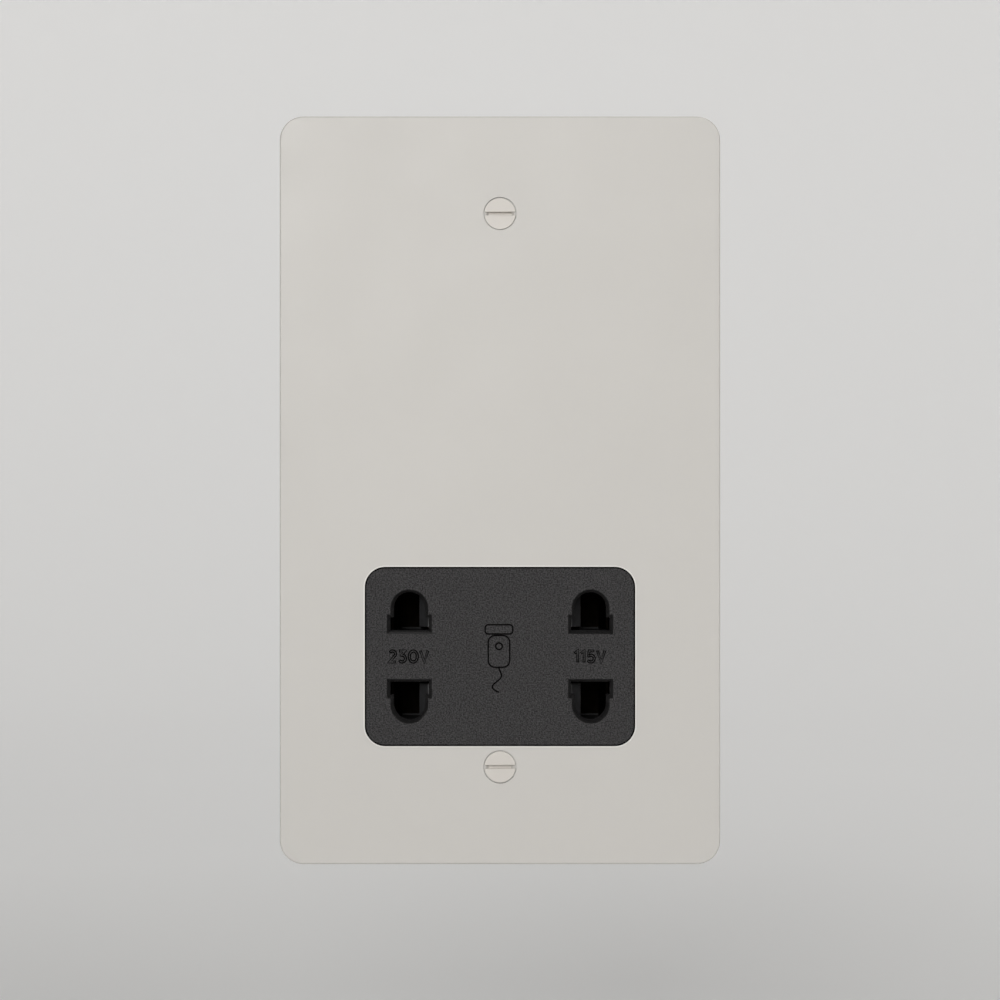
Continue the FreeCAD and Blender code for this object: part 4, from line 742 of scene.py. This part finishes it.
def detailed_fixing_screws():
    """Slotted countersunk screws with their thread."""
    screws = []
    for (x_span, y_span, z_span) in solid_spans("fixing_screws", 2):
        x, z, front, tip = middle(x_span), middle(z_span), y_span[0], y_span[1]
        profile = [
            (FIXING_HEAD - FIXING_EDGE, front),
            (FIXING_HEAD - FIXING_EDGE / 4, front + FIXING_EDGE),
            (FIXING_HEAD - FIXING_EDGE / 4, front + FIXING_RIM_DEPTH),
            (FIXING_NECK, front + FIXING_HEAD - FIXING_NECK),
            (FIXING_NECK, 0.3 * MM),
        ]
        head = lathe("fixing_head", x, z, profile, 72)
        combine(
            head,
            slot_cutter(
                "slot", x, z, FIXING_HEAD * 1.2, FIXING_SLOT_HALF, front - BEYOND,
                front + FIXING_SLOT_DEPTH,
            ),
        )
        round_edges(head, HEAD_ROUNDING, 2, 50)
        rod = threaded_rod(
            "fixing_thread", x, z, 0, tip, THREAD_RADIUS["fixing"], THREAD_PITCH["fixing"]
        )
        mark_faces(head, 0, SCREW, ZINC)
        mark_faces(rod, 1, SCREW, ZINC)
        screws += [head, rod]
    screws = join("fixing_screws_detailed", screws)
    smooth_by_angle(screws, 40)
    stands_for(screws, "fixing_screws", others=(ZINC,))


PAN_HEAD_HEIGHT = 1.6 * MM
CROSS_HALF_LENGTH = 1.45 * MM
CROSS_HALF_WIDTH = 0.3 * MM
CROSS_DEPTH = 1.1 * MM
CROSS_TURN = 0.6


def detailed_housing_screws():
    """Pan heads with a cross recess, sunk in the rear wall."""
    screws = []
    for (x_span, y_span, z_span) in solid_spans("housing_screws", 2):
        x, z, tip, top = middle(x_span), middle(z_span), y_span[0], y_span[1]
        reach, seat = (x_span[1] - x_span[0]) / 2, top - PAN_HEAD_HEIGHT
        profile = [
            (0.5 * MM, seat - 1 * MM),
            (reach - 0.1 * MM, seat),
            (reach, seat + 0.15 * MM),
            (reach, seat + 0.8 * MM),
            (reach * 0.93, seat + 1.2 * MM),
            (reach * 0.75, seat + 1.48 * MM),
            (reach * 0.45, top),
        ]
        head = lathe("housing_head", x, z, profile, 48)
        for turn in (CROSS_TURN, CROSS_TURN + math.pi / 2):
            combine(
                head,
                slot_cutter(
                    "cross", x, z, CROSS_HALF_LENGTH, CROSS_HALF_WIDTH, top - CROSS_DEPTH,
                    top + BEYOND, turn,
                ),
            )
        round_edges(head, HEAD_ROUNDING, 2, 50)
        rod = threaded_rod(
            "housing_thread", x, z, tip, seat, THREAD_RADIUS["housing"],
            THREAD_PITCH["housing"], 28,
        )
        screws += [head, rod]
    screws = join("housing_screws_detailed", screws)
    smooth_by_angle(screws, 40)
    stands_for(screws, "housing_screws")


def detailed_terminal_screws():
    """Headless slotted screws, seen through the holes in the rear wall."""
    screws = []
    for index, (x_span, y_span, z_span) in enumerate(solid_spans("terminal_screws", 3)):
        x, z, tip, top = middle(x_span), middle(z_span), y_span[0], y_span[1]
        rod = threaded_rod(
            "clamp_thread", x, z, tip, top - 0.3 * MM, THREAD_RADIUS["terminal"],
            THREAD_PITCH["terminal"], 32,
        )
        profile = [(1.2 * MM, top - 0.6 * MM), (1.45 * MM, top - 0.35 * MM), (1.2 * MM, top)]
        end = lathe("clamp_end", x, z, profile, 40)
        combine(
            end,
            slot_cutter(
                "slot", x, z, 2 * MM, 0.25 * MM, top - 0.5 * MM, top + BEYOND, index * 0.9
            ),
        )
        screws += [rod, end]
    screws = join("terminal_screws_detailed", screws)
    smooth_by_angle(screws, 40)
    stands_for(screws, "terminal_screws")


def detailed_studs():
    """Weld studs with a plain root and a thread."""
    studs = []
    for (x_span, y_span, z_span) in solid_spans("plate_studs", 4):
        x, z, root, tip = middle(x_span), middle(z_span), y_span[0], y_span[1]
        radius = (x_span[1] - x_span[0]) / 2
        collar = [(radius, root), (radius, root + 0.6 * MM), (radius * 0.85, root + 0.9 * MM)]
        studs.append(lathe("stud_root", x, z, collar, 36))
        studs.append(
            threaded_rod(
                "stud_thread", x, z, root + 0.6 * MM, tip, radius, THREAD_PITCH["stud"], 32
            )
        )
    studs = join("plate_studs_detailed", studs)
    smooth_by_angle(studs, 40)
    stands_for(studs, "plate_studs")


NUT_BORE_RADIUS = 1.55 * MM


def detailed_nuts():
    """Hexagon nuts with their corners turned down on both faces."""
    nuts = []
    for (x_span, y_span, z_span) in solid_spans("stud_nuts", 4):
        x, z, low, high = middle(x_span), middle(z_span), y_span[0], y_span[1]
        corner = (z_span[1] - z_span[0]) / 2
        hexagon = [ring(0, 0, y, corner, 6) for y in (low, high)]
        nut = grid_mesh("nut", hexagon)
        nut.data.transform(Matrix.Rotation(math.radians(30), 4, "Y"))
        nut.data.transform(Matrix.Translation((x, 0, z)))
        flat = corner * math.cos(math.radians(30))
        drop = (corner - flat) * 0.5
        barrel = [
            (flat, low),
            (corner * 1.01, low + drop),
            (corner * 1.01, high - drop),
            (flat, high),
        ]
        combine(nut, lathe("barrel", x, z, barrel, 60), "INTERSECT")
        bore = [(NUT_BORE_RADIUS, low - BEYOND), (NUT_BORE_RADIUS, high + BEYOND)]
        combine(nut, lathe("bore", x, z, bore, 32))
        nuts.append(nut)
    nuts = join("stud_nuts_detailed", nuts)
    smooth_by_angle(nuts, 25)
    stands_for(nuts, "stud_nuts")


# The earth tag and its lead, which is the only one that shows

TAG_ROUNDING = 0.08 * MM
TAG_SHEET = 0.6 * MM
TAG_BARREL = 6 * MM
TAG_NECK_HALF = 1.2 * MM
TAG_HOLE_RADIUS = 1.6 * MM
BARREL_HALF = 1.5 * MM
LEAD_RADIUS = 1.1 * MM


def detailed_earth_tag():
    """A pressed ring tag whose barrel is closed round the wire in two curls."""
    low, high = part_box("earth_tag")
    x = (low[0] + high[0]) / 2
    eye_radius = (high[0] - low[0]) / 2
    eye_z = low[2] + eye_radius
    back, front = low[1], low[1] + TAG_SHEET
    eye = lathe("eye", x, eye_z, [(eye_radius, back), (eye_radius, front)], 56)
    neck_top = high[2] - TAG_BARREL
    neck = box(
        "neck",
        (x - TAG_NECK_HALF, back, eye_z),
        (x + TAG_NECK_HALF, front, neck_top + 0.5 * MM),
    )
    combine(eye, neck, "UNION")
    hole = [(TAG_HOLE_RADIUS, back - BEYOND), (TAG_HOLE_RADIUS, front + BEYOND)]
    combine(eye, lathe("hole", x, eye_z, hole, 40))
    round_edges(eye, TAG_ROUNDING, 2, 40)
    section = barrel_section(x, back, high[1] - back)
    rings = [[(px, py, z) for px, py in section] for z in (neck_top, high[2])]
    barrel = grid_mesh("barrel", rings)
    round_edges(barrel, TAG_ROUNDING, 2, 60)
    tag = join("earth_tag_detailed", [eye, barrel])
    smooth_by_angle(tag, 40)
    stands_for(tag, "earth_tag")


def barrel_section(x, back, height):
    """The outline of the closed barrel: flat below, with two curls that meet on top."""
    radius = BARREL_HALF / 2
    points = [(x - BARREL_HALF, back), (x + BARREL_HALF, back)]
    top = back + height - radius
    for centre in (x + radius, x - radius):
        for step in range(9):
            angle = math.radians(180 * step / 8)
            points.append((centre + radius * math.cos(angle), top + radius * math.sin(angle)))
    return points


def smooth_tube(name, points, radius, resolution=6):
    """A round tube on one smooth curve that bends between its points."""
    curve = bpy.data.curves.new(name, "CURVE")
    curve.dimensions = "3D"
    curve.bevel_depth = radius
    curve.bevel_resolution = resolution
    curve.resolution_u = 10
    curve.use_fill_caps = True
    spline = curve.splines.new("NURBS")
    spline.points.add(len(points) - 1)
    for point, place in zip(spline.points, points):
        point.co = (*place, 1)
    spline.order_u = 3
    spline.use_endpoint_u = True
    return as_mesh(link(name, curve))


def detailed_earth_lead():
    """The earth lead from the tag's barrel through the housing's side to its clamp."""
    tag_low, tag_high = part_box("earth_tag")
    clamp_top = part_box("terminal_clamps")[1][2]
    tag_x = (tag_low[0] + tag_high[0]) / 2
    tag_y = tag_low[1] + BARREL_HALF
    hole_y, hole_z = LEAD_HOLE_Y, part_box("lead_earth")[1][2] - LEAD_RADIUS
    points = [
        (tag_x, tag_y, tag_high[2]),
        (tag_x, tag_y, tag_high[2] + 2.4 * MM),
        (tag_x, hole_y * 0.3, hole_z),
        (tag_x, hole_y * 0.75, hole_z),
        (tag_x, hole_y, hole_z),
        (tag_x - 3.5 * MM, hole_y, hole_z),
        (tag_x - 8 * MM, hole_y, hole_z),
        (tag_x - 14 * MM, hole_y + 1 * MM, hole_z - 1 * MM),
        (4 * MM, hole_y + 4 * MM, hole_z - 8 * MM),
        (0, TERMINAL_BORE_Y, clamp_top + 9 * MM),
        (0, TERMINAL_BORE_Y, clamp_top),
    ]
    lead = smooth_tube("lead_earth_detailed", points, LEAD_RADIUS)
    smooth_by_angle(lead, 60)
    stands_for(lead, "lead_earth")


# The rear housing with its terminal marks

HOUSING_ROUNDING = 0.22 * MM
TERMINAL_MARK_Z = -37.6 * MM
EARTH_STEM_TOP = 1.5 * MM
EARTH_STEM_FOOT = 0.2 * MM
# Each bar's drop below the stem's foot and half its length
EARTH_BARS = ((0.0, 1.4 * MM), (0.6 * MM, 0.9 * MM), (1.2 * MM, 0.4 * MM))


def earth_sign(centre_x, centre_z, face):
    """A stem over three bars that get shorter."""
    foot = centre_z + EARTH_STEM_FOOT
    lines = [[(centre_x, face, centre_z + EARTH_STEM_TOP), (centre_x, face, foot)]]
    for drop, half in EARTH_BARS:
        z = foot - drop
        lines.append([(centre_x - half, face, z), (centre_x + half, face, z)])
    return [(line, False) for line in lines]


def detailed_housing():
    """The rear cover, its edges rounded, with the marks of its three terminals."""
    housing = merged_copy("rear_housing")
    round_edges(housing, HOUSING_ROUNDING)
    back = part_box("rear_housing")[1][1]
    lines = earth_sign(0, TERMINAL_MARK_Z, back)
    for name, x in (("L", 0.6 * MM - TERMINAL_PITCH), ("N", 0.7 * MM + TERMINAL_PITCH)):
        low = TERMINAL_MARK_Z - LETTER_HEIGHT / 2
        lines += character(name, x, low, LETTER_HEIGHT, back, True)
    # The second material is painted shade in the engraved grooves.
    mark_faces(housing, 0, HOUSING, HOUSING_GROOVE_SHADE)
    engrave(housing, lines, LETTER_RADIUS)
    smooth_by_angle(housing)
    stands_for(housing, "rear_housing", others=(HOUSING_GROOVE_SHADE,))


# Springs and leaves, cut into rows

BEND_ROWS = 24


def sliced_copy(node, axis, count):
    """A copy of a CAD node cut across an axis into many rows, so that it can bend."""
    low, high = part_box(node)
    piece = merged_copy(node)
    edit = bmesh.new()
    edit.from_mesh(piece.data)
    normal = [0, 0, 0]
    normal[axis] = 1
    for step in range(1, count):
        place = [0, 0, 0]
        place[axis] = low[axis] + (high[axis] - low[axis]) * step / count
        bmesh.ops.bisect_plane(
            edit, geom=edit.verts[:] + edit.edges[:] + edit.faces[:],
            plane_co=place, plane_no=normal,
        )
    edit.to_mesh(piece.data)
    edit.free()
    return piece


def bending_pieces():
    """The fork's leaves and the hairpin's legs, cut into rows and left without a body."""
    fork = sliced_copy("switch_fork", 1, BEND_ROWS)
    smooth_by_angle(fork, 40)
    stands_for(fork, "switch_fork", body=None)
    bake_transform(fork)
    spring = sliced_copy("centring_spring", 2, BEND_ROWS)
    smooth_by_angle(spring, 40)
    stands_for(spring, "centring_spring", body=None)
    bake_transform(spring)


# Moulded and pressed pieces whose edges are rounded, with the width of the rounding

ROUNDED = {
    "terminal_block": 0.12 * MM,
    "contact_carrier": 0.08 * MM,
    "contact_retainer": 0.1 * MM,
    "interlock_shutter": 0.12 * MM,
    "terminal_clamps": 0.15 * MM,
    "core_clamp": 0.1 * MM,
    "bobbin": 0.1 * MM,
    "thermal_cutout": 0.4 * MM,
}


def rounded_pieces():
    """Replaces each of these nodes by a copy with rounded edges."""
    for node, width in ROUNDED.items():
        piece = merged_copy(node)
        round_edges(piece, width)
        smooth_by_angle(piece)
        body = "shutter" if node == "interlock_shutter" else "socket"
        stands_for(piece, node, body)


detailed_faceplate()
detailed_insert()
detailed_fixing_screws()
detailed_housing_screws()
detailed_terminal_screws()
detailed_studs()
detailed_nuts()
detailed_earth_tag()
detailed_earth_lead()
detailed_housing()
bending_pieces()
rounded_pieces()


# Stage, light and camera

STAGE_TONE = (0.72, 0.715, 0.70)
STAGE_REACH = 2.5
# What the camera sees added to the paint, by the share of the stage's reach
STAGE_GLOW = {0.1: 0.06, 0.21: 0.15, 0.42: 0.24, 0.664: 0.298, 0.926: 0.36}
FLOOR_Z = -0.14
FLAT_RADIUS = 0.5
COVE_RADIUS = 0.7
WALL_RADIUS = 1.8
WALL_TOP = 1.0


def distance_and_height(tree):
    """Distance from the upright axis plus height over the floor, as a share of the reach."""
    coordinates = tree.nodes.new("ShaderNodeTexCoord")
    flat = tree.nodes.new("ShaderNodeVectorMath")
    flat.operation = "MULTIPLY"
    flat.inputs[1].default_value = (1, 1, 0)
    tree.links.new(coordinates.outputs["Object"], flat.inputs[0])
    length = tree.nodes.new("ShaderNodeVectorMath")
    length.operation = "LENGTH"
    tree.links.new(flat.outputs["Vector"], length.inputs[0])
    place = tree.nodes.new("ShaderNodeSeparateXYZ")
    tree.links.new(coordinates.outputs["Object"], place.inputs["Vector"])
    total = tree.nodes.new("ShaderNodeMath")
    tree.links.new(length.outputs["Value"], total.inputs[0])
    tree.links.new(place.outputs["Z"], total.inputs[1])
    share = tree.nodes.new("ShaderNodeMapRange")
    share.inputs["From Min"].default_value = FLOOR_Z
    share.inputs["From Max"].default_value = STAGE_REACH + FLOOR_Z
    tree.links.new(total.outputs["Value"], share.inputs["Value"])
    return share.outputs["Result"]


def stage_paint():
    """Pale paint that the camera sees a little brighter than the light alone makes it."""
    material, shader = new_material("stage_paint", STAGE_TONE, 0.85)
    tree = material.node_tree
    ramp = tree.nodes.new("ShaderNodeValToRGB")
    stops = ramp.color_ramp.elements
    while len(stops) < len(STAGE_GLOW):
        stops.new(0.5)
    for stop, (position, glow) in zip(stops, STAGE_GLOW.items()):
        stop.position = position
        stop.color = (glow, glow, glow, 1)
    tree.links.new(distance_and_height(tree), ramp.inputs["Fac"])
    rays = tree.nodes.new("ShaderNodeLightPath")
    seen = rays.outputs["Is Camera Ray"]
    for ray in ("Is Glossy Ray", "Is Transmission Ray"):
        either = tree.nodes.new("ShaderNodeMath")
        either.operation = "MAXIMUM"
        tree.links.new(seen, either.inputs[0])
        tree.links.new(rays.outputs[ray], either.inputs[1])
        seen = either.outputs["Value"]
    strength = tree.nodes.new("ShaderNodeMath")
    strength.operation = "MULTIPLY"
    tree.links.new(ramp.outputs["Color"], strength.inputs[0])
    tree.links.new(seen, strength.inputs[1])
    shader.inputs["Emission Color"].default_value = (1, 0.99, 0.985, 1)
    tree.links.new(strength.outputs["Value"], shader.inputs["Emission Strength"])
    return material


def cove(material):
    """A round floor that curves up into a wall on every side, with no edge between them."""
    steps, count = 24, 96
    profile = [(0.02, FLOOR_Z), (FLAT_RADIUS, FLOOR_Z)]
    for step in range(steps + 1):
        angle = math.radians(90 * step / steps)
        radius = WALL_RADIUS - COVE_RADIUS + COVE_RADIUS * math.sin(angle)
        profile.append((radius, FLOOR_Z + COVE_RADIUS * (1 - math.cos(angle))))
    profile.append((WALL_RADIUS, WALL_TOP))
    rings = []
    for radius, z in profile:
        angles = (2 * math.pi * step / count for step in range(count))
        rings.append([(radius * math.cos(a), radius * math.sin(a), z) for a in angles])
    obj = grid_mesh("cove", rings, closed_ends=False)
    edit = bmesh.new()
    edit.from_mesh(obj.data)
    edit.verts.ensure_lookup_table()
    edit.faces.new(edit.verts[:count][::-1])
    edit.to_mesh(obj.data)
    edit.free()
    obj.data.materials.append(material)
    smooth_by_angle(obj, 60)


cove(stage_paint())


def area_light(name, place, size, power):
    """A square lamp that faces the object."""
    data = bpy.data.lights.new(name, "AREA")
    data.shape = "SQUARE"
    data.size = size
    data.energy = power
    light = bpy.data.objects.new(name, data)
    light.location = place
    light.rotation_euler = (-Vector(place)).to_track_quat("-Z", "Y").to_euler()
    bpy.context.scene.collection.objects.link(light)


world = bpy.data.worlds.new("world")
bpy.context.scene.world = world
world.use_nodes = True
background = world.node_tree.nodes["Background"]
background.inputs["Color"].default_value = (1, 1, 1, 1)
background.inputs["Strength"].default_value = 0.272
area_light("key", (-0.2, -1.3, 0.35), 0.5, 8.4)
area_light("fill", (0.75, -1.0, 0.5), 0.6, 1.9)
area_light("back", (0.35, 0.5, 1.1), 0.8, 4)

camera_data = bpy.data.cameras.new("camera")
camera_data.lens = 100
camera_data.clip_start = 0.01
camera_data.clip_end = 20
camera = bpy.data.objects.new("camera", camera_data)
camera.location = (0, -0.545, -0.0019)
camera.rotation_euler = (math.radians(90), 0, 0)
bpy.context.scene.collection.objects.link(camera)
bpy.context.scene.camera = camera
bpy.context.scene.view_settings.view_transform = "Standard"
bpy.context.scene.view_settings.look = "None"
